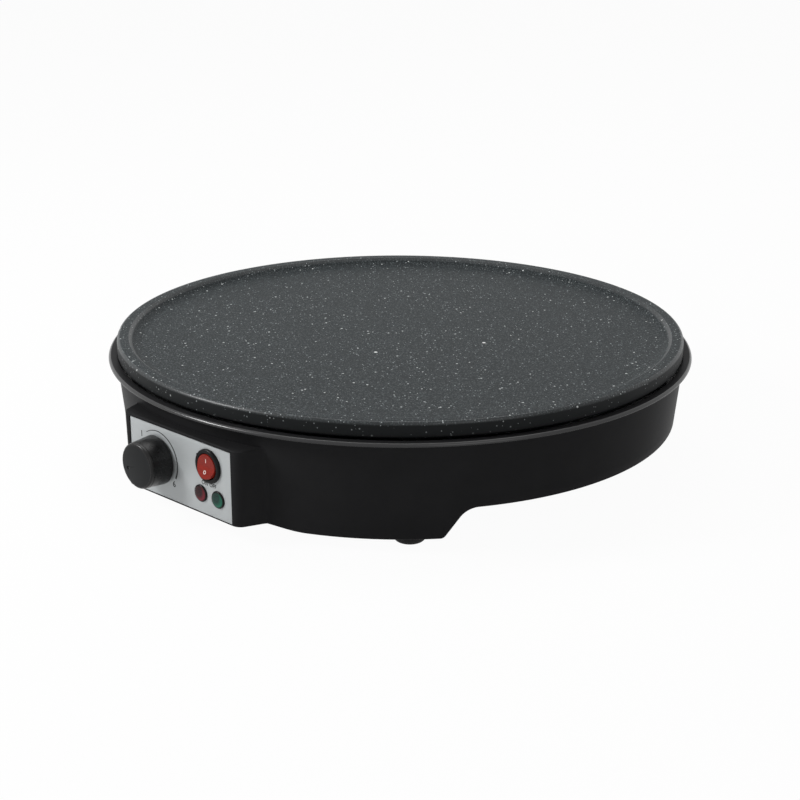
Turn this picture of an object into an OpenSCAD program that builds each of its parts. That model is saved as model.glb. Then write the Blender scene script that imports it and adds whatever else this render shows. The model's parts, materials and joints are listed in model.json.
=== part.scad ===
// Electric crepe maker: a fixed round griddle plate over a ring element, in a moulded base
// with a control box on its front. Millimetres. The origin is on the table under the centre
// of the plate, +Z is up and the control panel faces -Y. Angles named _az are measured round
// the base from the middle of the control panel, seen from above, towards +X.

/* [Griddle plate] */
// Outer diameter of the griddle plate
plate_d = 300; // [280:1:330]
// Thickness of the plate under its cooking surface
plate_t = 4; // [3.6:0.1:5]
// Height of the plate's edge, from its lower edge to the crest of the rim
rim_h = 8.1; // [7.6:0.1:9]
// Width of the rim at its crest
rim_w = 5.8; // [5:0.1:10]
// Height of the rim's crest above the cooking surface
rim_step = 4.1; // [3.2:0.1:4.4]
// Radius of the hollow where the cooking surface turns up into the rim
rim_foot_r = 8.5; // [5:0.5:9]
// Gap between the base's lip and the lower edge of the plate
plate_gap = 0.8; // [0.8:0.1:3]

/* [Base shell] */
// Height of the base from its lower edge to the top of its lip
base_h = 51.2; // [50:0.1:60]
// Wall thickness of the mouldings
wall_t = 2.5; // [2:0.1:3]
// Inward slope of the outer wall, towards its foot, in degrees
wall_draft = 5.5; // [3:0.1:7]
// How far the top of the wall stands outside the plate
wall_over = 0.4; // [0:0.1:1.5]
// Overhang of the lip past the top of the wall
lip_w = 4.2; // [2.5:0.1:6]
// Thickness of the lip
lip_t = 1.8; // [1.6:0.1:2.4]
// Rise of the hand-hold cut-outs above the base's lower edge
hold_rise = 15.3; // [13:0.1:17]
// Half the angle that the front leg takes up, in degrees
front_leg_az = 50.4; // [48:0.1:56]
// Half the angle that the rear leg takes up, in degrees
rear_leg_az = 28; // [26:0.5:34]
// Slope of the leg's end, in degrees
leg_slope = 55; // [48:1:65]
// Width of the ledge that the plate's collars stand on
seat_w = 14; // [13:0.5:18]

/* [Control box] */
// Width of the control box at its top, behind its front corners
box_w = 86.5; // [84:0.5:92]
// Height of the control box
box_h = 39.6; // [38.4:0.1:40]
// Height of the control box's underside above the base's lower edge
box_lift = 2.2; // [2.2:0.1:2.8]
// Rise of the control box's underside from the wall to its front
box_toe = 1.3; // [0.4:0.1:1.6]
// How far the panel's face stands outside the edge of the plate
panel_out = 4.5; // [3.5:0.1:10]
// Depth of the control box from its front to its inner riser
box_depth = 36; // [34:0.5:40]
// Inward slope of the box's sides, in degrees
box_draft = 2; // [0:0.1:3]
// How far each side of the box spreads on its way back to the wall
box_flare = 2.6; // [1:0.1:5]
// Radius of the box's upright front corners
box_corner_r = 5; // [4:0.1:5.4]
// Black margin left and right of the panel
panel_side = 6.6; // [6:0.1:7.5]
// Black margin above the panel
panel_edge = 1.7; // [0.9:0.1:2]
// Black margin below the panel
panel_foot = 0.8; // [0.7:0.1:2]
// Thickness of the panel
panel_t = 1; // [0.8:0.1:1.2]

/* [Temperature control] */
// Distance of the knob's axis left of the panel's middle
knob_x = 16.4; // [15.8:0.1:18.5]
// Height of the knob's axis above the control box's underside
knob_lift = 20.7; // [19.6:0.1:21.4]
// Diameter of the knob at its foot
knob_d = 24.8; // [23.8:0.1:26]
// Diameter of the knob at its face
knob_face_d = 22.9; // [21:0.1:23.5]
// Length of the knob
knob_l = 12.4; // [12:0.1:16]
// Diameter of the thermostat's shaft
shaft_d = 6; // [5:0.1:6.4]
// Width of the thermostat's body
stat_w = 26; // [24:0.5:28]
// Height of the thermostat's body
stat_h = 22; // [20:0.5:23]
// Depth of the thermostat's body
stat_depth = 20; // [18:0.5:22]

/* [Power switch] */
// Distance of the switch's axis right of the panel's middle
switch_x = 21.2; // [20:0.1:23]
// Height of the switch's axis above the control box's underside
switch_lift = 27.4; // [26.9:0.1:27.7]
// Outer diameter of the switch's bezel
bezel_d = 17; // [16.6:0.1:18]
// Height of the bezel above the panel
bezel_h = 1.5; // [1.2:0.1:2]
// Diameter of the rocker
rocker_d = 12.4; // [11.6:0.1:12.8]
// Tilt of the rocker each way, in degrees
rocker_tilt = 9.5; // [7:0.5:10]
// Depth of the switch behind the panel's face
switch_depth = 16; // [14:0.5:18]

/* [Lamps] */
// Distance between the two lamps
lamp_pitch = 12.2; // [11.6:0.1:13]
// Height of the lamps' axes above the control box's underside
lamp_lift = 12; // [11:0.1:12.3]
// Diameter of a lamp's lens
lamp_d = 8.7; // [8.2:0.1:9.2]

/* [Feet] */
// Height of a rubber foot
foot_h = 6.5; // [6:0.1:9]
// Diameter of a rubber foot
foot_d = 15.8; // [14:0.1:18]
// Distance of a foot's axis inside the edge of the plate
foot_inset = 19.5; // [19.5:0.5:26]
// Angle of the front feet from the middle of the panel, in degrees
front_foot_az = 45; // [40:0.5:46]
// Angle of the rear feet from the back, in degrees
rear_foot_az = 24; // [20:0.5:26]

/* [Heating] */
// Diameter of the heating tube
tube_d = 6.6; // [6:0.1:7]
// Radius of the heating ring
ring_r = 92; // [80:1:98]
// Distance between the element's two ends
ends_pitch = 28; // [24:1:34]
// Clear height between the element's tube and the heat shield's floor
shield_drop = 8.6; // [7:0.1:9.5]
// Thickness of the heat shield's sheet
shield_t = 0.8; // [0.6:0.1:1]
// Height of a heat-proof collar between the base and the plate
collar_h = 3.2; // [2.6:0.1:4]
// Height of the plate's screw bosses
plate_boss_h = 3.4; // [2.8:0.1:4]
// Diameter of the thermostat's sensor bulb
bulb_d = 5; // [4:0.1:6]
// Length of the thermostat's sensor bulb
bulb_l = 60; // [50:1:70]

/* [Cord inlet] */
// Diameter of the gland's bore, for the cord
cord_hole_d = 7.6; // [6.4:0.1:8]
// Length of the gland's cap past its flange
gland_cap_l = 14; // [12:0.5:16]

/* [Terminal block] */
// Distance between neighbouring poles
pole_pitch = 10; // [9:0.5:12]
// Length of the terminal block in the wires' direction
block_l = 18; // [16:0.5:22]
// Distance of the terminal block's middle behind the centre
block_y = 92; // [86:1:96]

/* [Hidden] */
$fn = 96;

// Clearances
eps = 0.01;          // cutters run past the faces that they open by this much
fit = 0.05;          // radial gap of a screw or shaft in its hole
slip = 0.3;          // gap between curved faces that only pass each other
seam = 0.25;         // gap round a plate in its recess
free = 0.4;          // gap between a cover and the shell that it closes
cut_step = 0.04;     // step where a curved cut runs out into a flat face

// Heights, from the table upwards
skirt_z = foot_h;
lip_top = skirt_z + base_h;
lip_under = lip_top - lip_t;
hold_z = skirt_z + hold_rise;
cover_z = hold_z + 0.5;
cover_t = wall_t;
cover_top = cover_z + cover_t;
plate_low = lip_top + plate_gap;
rim_z = plate_low + rim_h;
cook_z = rim_z - rim_step;
plate_under = cook_z - plate_t;
boss_z = plate_under - plate_boss_h;
seat_z = boss_z - collar_h - shield_t;
seat_t = wall_t;

// Radii
plate_r = plate_d / 2;
wall_top_r = plate_r + wall_over;
lip_r = wall_top_r + lip_w;
function wall_r(z) = wall_top_r - (lip_under - z) * tan(wall_draft);
ledge_r = wall_top_r - 13;                 // where the sloping ledge meets the flat seat
seat_r = ledge_r - seat_w;                 // inner edge of the seat
collar_r = ledge_r - seat_w / 2;           // circle of the plate's screws
cover_r = wall_r(cover_z) - wall_t - free;
foot_r = plate_r - foot_inset;

// Control box
box_z = skirt_z + box_lift;
box_top = box_z + box_h;
panel_y = -(plate_r + panel_out);
frame_proud = 0.3;                         // the box's front frame stands this far past the panel
box_y = panel_y - frame_proud;
box_back = box_y + box_depth;
flare_az = asin((box_w / 2 + box_flare) / wall_r(box_top));    // where its sides meet the wall
cavity_y = panel_y + panel_t + 2;          // inner face of the box's front wall
cavity_z = box_z + box_toe + 2;
cavity_top = box_top - 2;
cavity_w = box_w - 2 * wall_t - 2 * box_h * tan(box_draft);
bush_d = 10;                               // threaded bush of the thermostat
knob_pos = [-knob_x, panel_y, box_z + knob_lift];
switch_pos = [switch_x, panel_y, box_z + switch_lift];
lamp_z = box_z + lamp_lift;
barrel_r = bezel_d / 2 - 0.7;
lamp_barrel_r = lamp_d / 2 - 0.9;

// Knob
knob_foot = panel_y - 0.8;                 // plane of the knob's open foot
knob_face = knob_foot - knob_l;
knob_wall = 1.6;
knob_edge_r = 1;
pointer_angle = 200;                       // of the pointer dimple, from +X towards +Z
nut_t = 2.4;
bush_out = 4.2;                            // bush length in front of the panel
shaft_end = knob_face + 3;

// Rocker
rocker_r = rocker_d / 2;
pivot_drop = 0.7;                          // depth of the rocker's pivot below the bezel's top
rocker_y = panel_y - bezel_h + pivot_drop; // the rocker's pivot
rocker_dip = 1;                            // height of the rocker's face above its pivot
pin_r = 0.5;
pivot_bore_r = rocker_r + slip;

// Heating element
tube_r = tube_d / 2;
tube_gap = 0.2;
tube_z = plate_under - tube_gap - tube_r;
bend_r = 9;
ends_az = asin((ends_pitch / 2 + bend_r) / ring_r);
ends_y = -ring_r * cos(ends_az) - bend_r * sin(ends_az);
ends_x = ring_r * sin(ends_az) - bend_r * cos(ends_az);
shield_floor = tube_z - tube_r - shield_drop;     // upper face of the shield's floor
shield_under = shield_floor - shield_t;
shield_r = seat_r - 2.5;                   // inner radius of the shield's wall
end_z = shield_under - 1.7;                // lower end of the tube's cold ends
bead_h = 2;
tab_l = 7;
tab_w = 6.3;
tab_t = 0.8;
strap_t = 0.8;
strap_w = 10;
strap_foot = 7;
clamp_az = [45, 135, 225, 315];
m3_r = 1.5;
m4_r = 2;

// Sensor
bulb_z = plate_under - tube_gap - bulb_d / 2;
bulb_y = -60;
sensor_hole = [-bulb_l / 2 - 14, bulb_y];

// Plate screws, cover screws and feet
plate_screw_az = [45, 135, 225, 315];
cover_screw_az = [30, 90, 150, 210, 270, 330];
column_r = 4.5;
column_pos_r = cover_r - column_r - 0.7;
post_r = foot_d / 2 + 2;
foot_places = [-front_foot_az, front_foot_az, 180 + rear_foot_az, 180 - rear_foot_az];

// Terminal block, fuse and earth point
pad_h = 3;
block_w = 3 * pole_pitch + 4;
block_h = 11;
block_z = cover_top + pad_h;
pole_z = block_z + 5.5;
wire_r = 1.3;
lead_r = 0.7;
fuse_r = 2;
fuse_l = 12;
fuse_pos = [36, -62, shield_under - tube_gap - fuse_r];
earth_y = 45;
earth_boss_r = 4.5;
earth_hole = [14, earth_y];
tag_t = 0.8;
tag_z = boss_z - tag_t;

// Gland
pad_r = 12.4;
gland_z = cover_top + slip + pad_r;
pad_face = wall_r(gland_z + pad_r) + 0.6;
pad_inner = wall_r(gland_z) - wall_t - 3.5;
shank_r = 7;
locknut_t = 4;
flange_t = 4;
flange_af = 18;
neck_l = 8;
neck_r = 6;
cord_r = cord_hole_d / 2;
seal_r = 4.9;
seal_l = 5;
cap_y = pad_face + flange_t;

BLACK = "#1c1c1e";
RUBBER = "#262626";
STEEL = "#b9bcc0";
BRASS = "#c9a75a";
CERAMIC = "#e8e4da";

// Places its children at a distance from the axis: outwards is -Y and +X goes round the base
module around(az, r) {
    rotate([0, 0, az])
        translate([0, -r, 0])
            children();
}

// Stands its children on the panel: their +Z points out of the panel, and their Y is up
module on_panel(place) {
    translate(place)
        rotate([90, 0, 0])
            children();
}

// Points on an arc, from angle a0 to a1
function arc(c, r, a0, a1, n = 8) =
    [for (i = [0:n]) c + r * [cos(a0 + (a1 - a0) * i / n), sin(a0 + (a1 - a0) * i / n)]];

// A screw that points up: its head is below z = 0 and its shank above
module pan_screw(r, l, head_r, head_h) {
    difference() {
        union() {
            translate([0, 0, -head_h])
                cylinder(r = head_r, h = head_h);
            cylinder(r = r, h = l);
        }
        cross_slot(-head_h, head_r * 1.2, head_h * 0.55);
    }
}

// The cross in a screw's head
module cross_slot(z, w, depth) {
    for (a = [0, 90])
        rotate([0, 0, a])
            translate([-w / 2, -w / 10, z - eps])
                cube([w, w / 5, depth + eps]);
}

// A tube along a path of points, as one closed skin. A wire's route has its corners drawn round.
function cut_corners(p) =
    [p[0], for (i = [0:len(p) - 2]) each [p[i] * 0.75 + p[i + 1] * 0.25, p[i] * 0.25 + p[i + 1] * 0.75],
        p[len(p) - 1]];
function unit(v) = v / norm(v);
function across(t) = abs(t.z) < 0.8 ? unit(cross(t, [0, 0, 1])) : unit(cross(t, [1, 0, 0]));
function tangents(p) =
    [for (i = [0:len(p) - 1]) unit(p[min(i + 1, len(p) - 1)] - p[max(i - 1, 0)])];
module tube(p, r, sides) {
    t = tangents(p);
    last = len(p) - 1;
    normals = [for (i = 0, n = across(t[0]); i <= last;
        i = i + 1, n = i <= last ? unit(n - (n * t[i]) * t[i]) : n) n];
    points = [for (i = [0:last]) for (k = [0:sides - 1])
        p[i] + r * (cos(360 * k / sides) * normals[i] + sin(360 * k / sides) * cross(t[i], normals[i]))];
    walls = [for (i = [0:last - 1]) for (k = [0:sides - 1])
        let (a = i * sides + k, b = i * sides + (k + 1) % sides)
            each [[a, a + sides, b], [b, a + sides, b + sides]]];
    first_cap = [for (k = [1:sides - 2]) [0, k, k + 1]];
    last_cap = [for (k = [1:sides - 2]) [last * sides, last * sides + k + 1, last * sides + k]];
    polyhedron(points, concat(walls, first_cap, last_cap));
}
module wire(route, r) {
    tube(cut_corners(cut_corners(route)), r, 8);
}

// A push-on receptacle round a flat tab: the tab points up from below into it, along +Z
module receptacle() {
    difference() {
        translate([-tab_w / 2 - 0.8, -1.6, 1])
            cube([tab_w + 1.6, 3.2, tab_l]);
        translate([-tab_w / 2 - 0.1, -tab_t / 2 - 0.1, 0])
            cube([tab_w + 0.2, tab_t + 0.2, tab_l + 0.3]);
    }
}

// A U strap that holds a tube under a flat face: the tube runs along X, the face is z = 0
module strap(r) {
    centre = -tube_gap - r;
    outer = r + slip + strap_t;
    rotate([90, 0, 90])
        translate([0, 0, -strap_w / 2])
            linear_extrude(strap_w)
                difference() {
                    union() {
                        translate([0, centre])
                            circle(r = outer);
                        translate([-outer, centre])
                            square([2 * outer, -centre]);
                        translate([-outer - strap_foot, -strap_t])
                            square([2 * (outer + strap_foot), strap_t]);
                    }
                    translate([0, centre])
                        circle(r = r + slip);
                    translate([-r - slip, centre])
                        square([2 * (r + slip), -centre + eps]);
                    translate([-outer, 0])
                        square(2 * outer);
                }
}
function strap_screw_y(r) = r + slip + strap_t + strap_foot / 2;
module strap_holes(r) {
    for (s = [-1, 1])
        translate([0, s * strap_screw_y(r), -2 * strap_t])
            cylinder(r = m3_r + 0.1, h = 3 * strap_t);
}

// Screws of a strap; their heads press its feet on the face at z = 0
strap_screw_l = 3;
module strap_screws(r) {
    for (s = [-1, 1])
        translate([0, s * strap_screw_y(r), -strap_t])
            pan_screw(m3_r, strap_t + strap_screw_l, 2.6, 1.6);
}
module strap_screw_sockets(r) {
    for (s = [-1, 1])
        translate([0, s * strap_screw_y(r), -eps])
            cylinder(r = m3_r + fit, h = strap_screw_l + 0.2);
}

// ---- Griddle plate ----

rim_round = 2.2;
rim_crest_r = 1.2;                         // inner edge of the crest
rim_slope = 45;                            // slope of the rim's inner side, in degrees
rim_foot = plate_r - rim_w - (rim_crest_r + rim_foot_r) * sin(rim_slope)
    - (rim_step - (rim_crest_r + rim_foot_r) * (1 - cos(rim_slope))) / tan(rim_slope);
rim_profile = concat(
    [[0, plate_under], [rim_foot, plate_under], [plate_r - rim_w - 1, plate_low]],
    [[plate_r - 1.2, plate_low]],
    arc([plate_r - 1.2, plate_low + 1.2], 1.2, -90, 0, 4),
    arc([plate_r - rim_round, rim_z - rim_round], rim_round, 0, 90, 8),
    arc([plate_r - rim_w, rim_z - rim_crest_r], rim_crest_r, 90, 90 + rim_slope, 4),
    arc([rim_foot, cook_z + rim_foot_r], rim_foot_r, 270 + rim_slope, 270, 8),
    [[0, cook_z]]);

module griddle_plate() {
    color("#3a3d40")
        difference() {
            union() {
                rotate_extrude($fn = 180)
                    polygon(rim_profile);
                for (a = plate_screw_az)
                    around(a, collar_r)
                        translate([0, 0, boss_z])
                            cylinder(r = 5.5, h = plate_under - boss_z + 1);
                translate([0, earth_y, boss_z])
                    cylinder(r = earth_boss_r, h = plate_under - boss_z + 1);
            }
            for (a = plate_screw_az)
                around(a, collar_r)
                    translate([0, 0, boss_z - eps])
                        cylinder(r = m4_r + fit, h = plate_screw_grip + 0.2);
            translate([0, earth_y, boss_z - eps])
                cylinder(r = m4_r + fit, h = earth_screw_grip + 0.2);
            for (a = clamp_az)
                around(a, ring_r)
                    translate([0, 0, plate_under])
                        strap_screw_sockets(tube_r);
            translate([0, bulb_y, plate_under])
                strap_screw_sockets(bulb_d / 2);
        }
}

// ---- Base shell ----

ledge_t = wall_t;
lip_round = 0.6;
inner_top = seat_z + (lip_under - seat_z) * 0.62;
shell_profile = concat(
    [[wall_r(skirt_z), skirt_z], [wall_top_r, lip_under]],
    arc([lip_r - lip_round, lip_under + lip_round], lip_round, -90, 0, 4),
    arc([lip_r - lip_round, lip_top - lip_round], lip_round, 0, 90, 4),
    [[wall_top_r, lip_top], [ledge_r, seat_z], [seat_r, seat_z], [seat_r, seat_z - seat_t],
        [ledge_r, seat_z - seat_t], [wall_r(inner_top) - wall_t, inner_top - 1],
        [wall_r(skirt_z) - wall_t, skirt_z]]);

// Side view of the end of a leg, from its low edge to the hand-hold; the waste is below it
leg_round = 3;
hold_round = 11;
leg_run = (leg_round + hold_round) * sin(leg_slope)
    + (hold_rise - (leg_round + hold_round) * (1 - cos(leg_slope))) / tan(leg_slope);
leg_end = concat(
    arc([0, leg_round - cut_step], leg_round, -90, leg_slope - 90),
    arc([leg_run, hold_rise - hold_round - cut_step], hold_round, 90 + leg_slope, 90));
module leg_end_cut() {
    translate([0, 0, skirt_z])
        rotate([90, 0, 0])
            linear_extrude(lip_r)
                polygon(concat(leg_end,
                    [[leg_run + 12, hold_rise - cut_step], [leg_run + 12, -1], [0, -1]]));
}

// The same beside the control box, where the skirt rises a little in a long wave
box_wave_rise = 2.1;
box_wave_run = 26;
box_wave = [for (i = [0:10])
    [i / 10 * box_wave_run, box_wave_rise * (1 - cos(18 * i)) / 2 - cut_step]];
box_wave_az = flare_az + 7.7;
module box_wave_cut() {
    translate([0, 0, skirt_z])
        mirror([1, 0, 0])
            rotate([90, 0, 0])
                linear_extrude(lip_r)
                    polygon(concat(box_wave, [[box_wave_run + 2, box_wave_rise - cut_step],
                        [box_wave_run + 2, -1], [0, -1]]));
}

module sector_cut(az0, az1, top) {
    rotate([0, 0, az0 - 90])
        rotate_extrude(angle = az1 - az0)
            translate([foot_r - 40, 0])
                square([60 + foot_inset, top]);
}

module skirt_cuts() {
    run_az = atan(leg_run / wall_r(hold_z)) + 1;
    for (s = [0, 1])
        mirror([s, 0, 0]) {
            rotate([0, 0, front_leg_az])
                leg_end_cut();
            rotate([0, 0, 180 - rear_leg_az])
                mirror([1, 0, 0])
                    leg_end_cut();
            sector_cut(front_leg_az + run_az, 180 - rear_leg_az - run_az, hold_z);
            rotate([0, 0, box_wave_az])
                box_wave_cut();
        }
    wave_end_az = box_wave_az - atan(box_wave_run / wall_r(skirt_z)) - 0.2;
    sector_cut(-wave_end_az, wave_end_az, skirt_z + box_wave_rise);
}

// The control box as a solid block. Its part outside the wall has round upright corners at the
// front, sides that spread towards the wall, and an underside that rises to the front.
function box_half(z) = box_w / 2 - (box_top - z) * tan(box_draft);
module box_corners(z) {
    for (s = [-1, 1])
        translate([s * (box_half(z) - box_corner_r), box_y + box_corner_r, z])
            cylinder(r = box_corner_r, h = eps, center = true, $fn = 48);
}
module box_roots(z) {
    for (s = [-1, 1])
        translate([s * (wall_r(z) - 0.5) * sin(flare_az), -(wall_r(z) - 0.5) * cos(flare_az), z])
            cylinder(r = 0.3, h = eps, center = true, $fn = 24);
}
module box_block() {
    hull() {
        box_corners(box_z + box_toe);
        box_corners(box_top);
        box_roots(box_z);
        box_roots(box_top);
    }
}

// Its straight part within the wall, up to the bottom cover
module box_floor() {
    intersection() {
        hull()
            for (z = [box_z, cover_top])
                translate([-box_half(z), -lip_r, z - eps / 2])
                    cube([2 * box_half(z), lip_r + box_back, eps]);
        wall_solid(wall_t / 2);
    }
}

// All that lies within the wall's outer face, less a depth
module wall_solid(depth) {
    translate([0, 0, skirt_z - 1])
        cylinder(r1 = wall_r(skirt_z - 1) - depth, r2 = wall_r(lip_top) - depth, h = base_h + 1);
}

// Outline of the panel, seen from the front, grown by a gap
module panel_outline(grow) {
    low = box_z + box_toe + panel_foot - grow;
    high = box_top - panel_edge + grow;
    side = box_w / 2 - panel_side + grow;
    translate([-side, low])
        square([2 * side, high - low]);
}

module base_shell() {
    color(BLACK)
        difference() {
            union() {
                rotate_extrude($fn = 180)
                    polygon(shell_profile);
                difference() {
                    box_block();
                    wall_solid(wall_t);
                }
                box_floor();
                columns();
                gland_pad();
            }
            translate([-cavity_w / 2, cavity_y, cavity_z])
                cube([cavity_w, box_depth - (cavity_y - box_y) - wall_t, cavity_top - cavity_z]);
            translate([0, panel_y + panel_t, 0])
                rotate([90, 0, 0])
                    linear_extrude(panel_t + frame_proud + eps)
                        panel_outline(seam);
            panel_holes(1);
            skirt_cuts();
            translate([0, pad_inner - eps, gland_z])
                rotate([-90, 0, 0])
                    cylinder(r = shank_r + 0.1, h = 30);
            for (a = cover_screw_az)
                around(a, column_pos_r)
                    translate([0, 0, cover_top - eps])
                        cylinder(r = 1.75 + fit, h = cover_screw_grip + 0.5);
            for (a = plate_screw_az)
                around(a, collar_r)
                    translate([0, 0, seat_z - seat_t - 1])
                        cylinder(r = m4_r + 0.25, h = seat_t + 2);
        }
}

// Posts inside the wall that take the cover's screws, each with a web to the wall
module columns() {
    intersection() {
        for (a = cover_screw_az)
            around(a, column_pos_r)
                translate([0, 0, cover_top]) {
                    cylinder(r = column_r, h = seat_z - seat_t / 2 - cover_top);
                    translate([-1.25, -12, 0])
                        cube([2.5, 12, inner_top - cover_top]);
                }
        translate([0, 0, skirt_z])
            cylinder(r1 = wall_r(skirt_z) - wall_t / 2, r2 = wall_r(lip_under) - wall_t / 2,
                h = lip_under - skirt_z);
    }
}

// Flat pad through the rear wall, which the gland clamps on
module gland_pad() {
    translate([0, pad_inner, gland_z])
        rotate([-90, 0, 0])
            cylinder(r = pad_r, h = pad_face - pad_inner);
}

// Holes through the panel and the box's front wall
module panel_holes(depth_past) {
    depth = cavity_y - panel_y + depth_past;
    on_panel(knob_pos)
        translate([0, 0, -depth])
            cylinder(r = bush_d / 2 + 0.2, h = depth + 1);
    on_panel(switch_pos)
        translate([0, 0, -depth])
            cylinder(r = barrel_r + 0.1, h = depth + 1);
    for (x = lamp_x)
        on_panel([x, panel_y, lamp_z])
            translate([0, 0, -depth])
                cylinder(r = lamp_barrel_r + 0.1, h = depth + 1);
}
lamp_x = [switch_x - lamp_pitch / 2, switch_x + lamp_pitch / 2];

// ---- Bottom cover and feet ----

vent_count = 16;
vent_w = 3;
vent_l = 24;
vent_r = 72;
cover_screw_grip = 9;
module bottom_cover() {
    color(BLACK)
        difference() {
            union() {
                translate([0, 0, cover_z])
                    cylinder(r = cover_r, h = cover_t, $fn = 180);
                for (a = foot_places)
                    around(a, foot_r)
                        translate([0, 0, skirt_z])
                            cylinder(r = post_r, h = cover_z - skirt_z + 1);
                translate([-block_w / 2 - 2, block_y - block_l / 2 - 2, cover_top - 1])
                    cube([block_w + 4, block_l + 4, pad_h + 1]);
            }
            translate([-box_w / 2 - free, -lip_r, skirt_z - 1])
                cube([box_w + 2 * free, lip_r + box_back + free, cover_top]);
            for (a = foot_places)
                around(a, foot_r)
                    translate([0, 0, skirt_z - eps])
                        cylinder(r = m4_r - 0.25 + fit, h = foot_screw_grip + 0.5);
            for (a = cover_screw_az)
                around(a, column_pos_r)
                    translate([0, 0, cover_z - eps]) {
                        cylinder(r = 1.9, h = cover_t + 1);
                        cylinder(r1 = 3.6, r2 = 1.85, h = 1.8);
                    }
            for (i = [0:vent_count - 1])
                around(360 / vent_count * (i + 0.5), vent_r)
                    vent_slot();
            for (s = [-1, 1])
                translate([s * pole_pitch / 2, block_y, cover_z + 0.8])
                    cylinder(r = m3_r + fit, h = cover_t + pad_h);
        }
}
module vent_slot() {
    for (s = [-1, 1])
        translate([0, s * (vent_l - vent_w) / 2, cover_z - 1])
            cylinder(r = vent_w / 2, h = cover_t + 2, $fn = 24);
    translate([-vent_w / 2, -(vent_l - vent_w) / 2, cover_z - 1])
        cube([vent_w, vent_l - vent_w, cover_t + 2]);
}

foot_round = 2.6;
foot_screw_r = m4_r - 0.25;
foot_recess = 3.4;
foot_screw_grip = 8;
module foot(place) {
    color(RUBBER)
        around(foot_places[place], foot_r)
            rotate_extrude()
                difference() {
                    polygon(concat([[0, 0]],
                        arc([foot_d / 2 - foot_round, foot_round], foot_round, -90, 0),
                        [[foot_d / 2, foot_h], [0, foot_h]]));
                    translate([-1, -1])
                        square([4.2 + 1, foot_recess + 1]);
                    translate([-1, 0])
                        square([foot_screw_r + 0.15 + 1, foot_h + 1]);
                }
}
module foot_front_left() foot(0);
module foot_front_right() foot(1);
module foot_rear_left() foot(2);
module foot_rear_right() foot(3);
module foot_screws() {
    color(STEEL)
        for (a = foot_places)
            around(a, foot_r)
                translate([0, 0, foot_recess])
                    pan_screw(foot_screw_r, foot_h - foot_recess + foot_screw_grip, 3.6, 2.2);
}
module cover_screws() {
    color(STEEL)
        for (a = cover_screw_az)
            around(a, column_pos_r)
                translate([0, 0, cover_z])
                    difference() {
                        union() {
                            cylinder(r1 = 3.5, r2 = 1.75, h = 1.75);
                            cylinder(r = 1.75, h = cover_t + cover_screw_grip);
                        }
                        cross_slot(0, 3.8, 1.1);
                    }
}

// ---- Plate mounting and heat shield ----

plate_screw_grip = 4.6;
earth_screw_grip = 4.6;
module plate_spacers() {
    color(CERAMIC)
        for (a = plate_screw_az)
            around(a, collar_r)
                translate([0, 0, seat_z + shield_t])
                    difference() {
                        cylinder(r = 5, h = collar_h);
                        translate([0, 0, -1])
                            cylinder(r = m4_r + 0.2, h = collar_h + 2);
                    }
}
module plate_screws() {
    color(STEEL)
        for (a = plate_screw_az)
            around(a, collar_r)
                translate([0, 0, seat_z - seat_t])
                    pan_screw(m4_r, boss_z - seat_z + seat_t + plate_screw_grip, 3.8, 2.6);
}

shield_hole_r = tube_r + 1.2;
module heat_shield() {
    color("#c4c7ca")
        difference() {
            union() {
                translate([0, 0, shield_under])
                    cylinder(r = shield_r + shield_t, h = seat_z + shield_t - shield_under, $fn = 180);
                translate([0, 0, seat_z])
                    cylinder(r = ledge_r - 1, h = shield_t, $fn = 180);
            }
            translate([0, 0, shield_floor])
                cylinder(r = shield_r, h = 40, $fn = 180);
            for (s = [-1, 1])
                translate([s * ends_x, ends_y, shield_under - 1])
                    cylinder(r = shield_hole_r, h = shield_t + 2);
            for (p = [sensor_hole, earth_hole])
                translate([p.x, p.y, shield_under - 1])
                    cylinder(r = 3.5, h = shield_t + 2);
            for (a = plate_screw_az)
                around(a, collar_r)
                    translate([0, 0, seat_z - 1])
                        cylinder(r = m4_r + 0.25, h = shield_t + 2);
            for (s = [-1, 1])
                translate([fuse_pos.x, fuse_pos.y + s * strap_screw_y(fuse_r), shield_under - 1])
                    cylinder(r = m3_r + fit, h = shield_t + 2);
        }
}

// ---- Heating element ----

// The element's path: up one cold end, through its bend, round the ring and down the other
cold_end = [[ends_x, ends_y, end_z], [ends_x, ends_y, tube_z - bend_r - 1],
    for (i = [0:6]) let (a = 15 * i, run = bend_r * (1 - cos(a)))
        [ends_x + run * cos(ends_az), ends_y + run * sin(ends_az), tube_z - bend_r * (1 - sin(a))]];
ring_steps = 56;
ring_path = [for (i = [1:ring_steps - 1])
    let (a = ends_az - 90 + i * (360 - 2 * ends_az) / ring_steps)
        [ring_r * cos(a), ring_r * sin(a), tube_z]];
module heating_element() {
    other_end = [for (i = [len(cold_end) - 1:-1:0]) [-cold_end[i].x, cold_end[i].y, cold_end[i].z]];
    color("#6e6a66")
        tube(concat(cold_end, ring_path, other_end), tube_r, 12);
}

module at_element_ends() {
    for (s = [-1, 1])
        translate([s * ends_x, ends_y, end_z])
            children();
}
module element_insulators() {
    color(CERAMIC)
        at_element_ends()
            translate([0, 0, -bead_h])
                cylinder(r = 2.6, h = bead_h);
}
module element_tabs() {
    color(STEEL)
        at_element_ends()
            translate([-tab_w / 2, -tab_t / 2, -bead_h - tab_l])
                cube([tab_w, tab_t, tab_l]);
}
module element_clamps() {
    color(STEEL)
        for (a = clamp_az)
            around(a, ring_r)
                translate([0, 0, plate_under])
                    difference() {
                        strap(tube_r);
                        strap_holes(tube_r);
                    }
}
module clamp_screws() {
    color(STEEL) {
        for (a = clamp_az)
            around(a, ring_r)
                translate([0, 0, plate_under])
                    strap_screws(tube_r);
        translate([0, bulb_y, plate_under])
            strap_screws(bulb_d / 2);
    }
}

// ---- Temperature control ----

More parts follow.
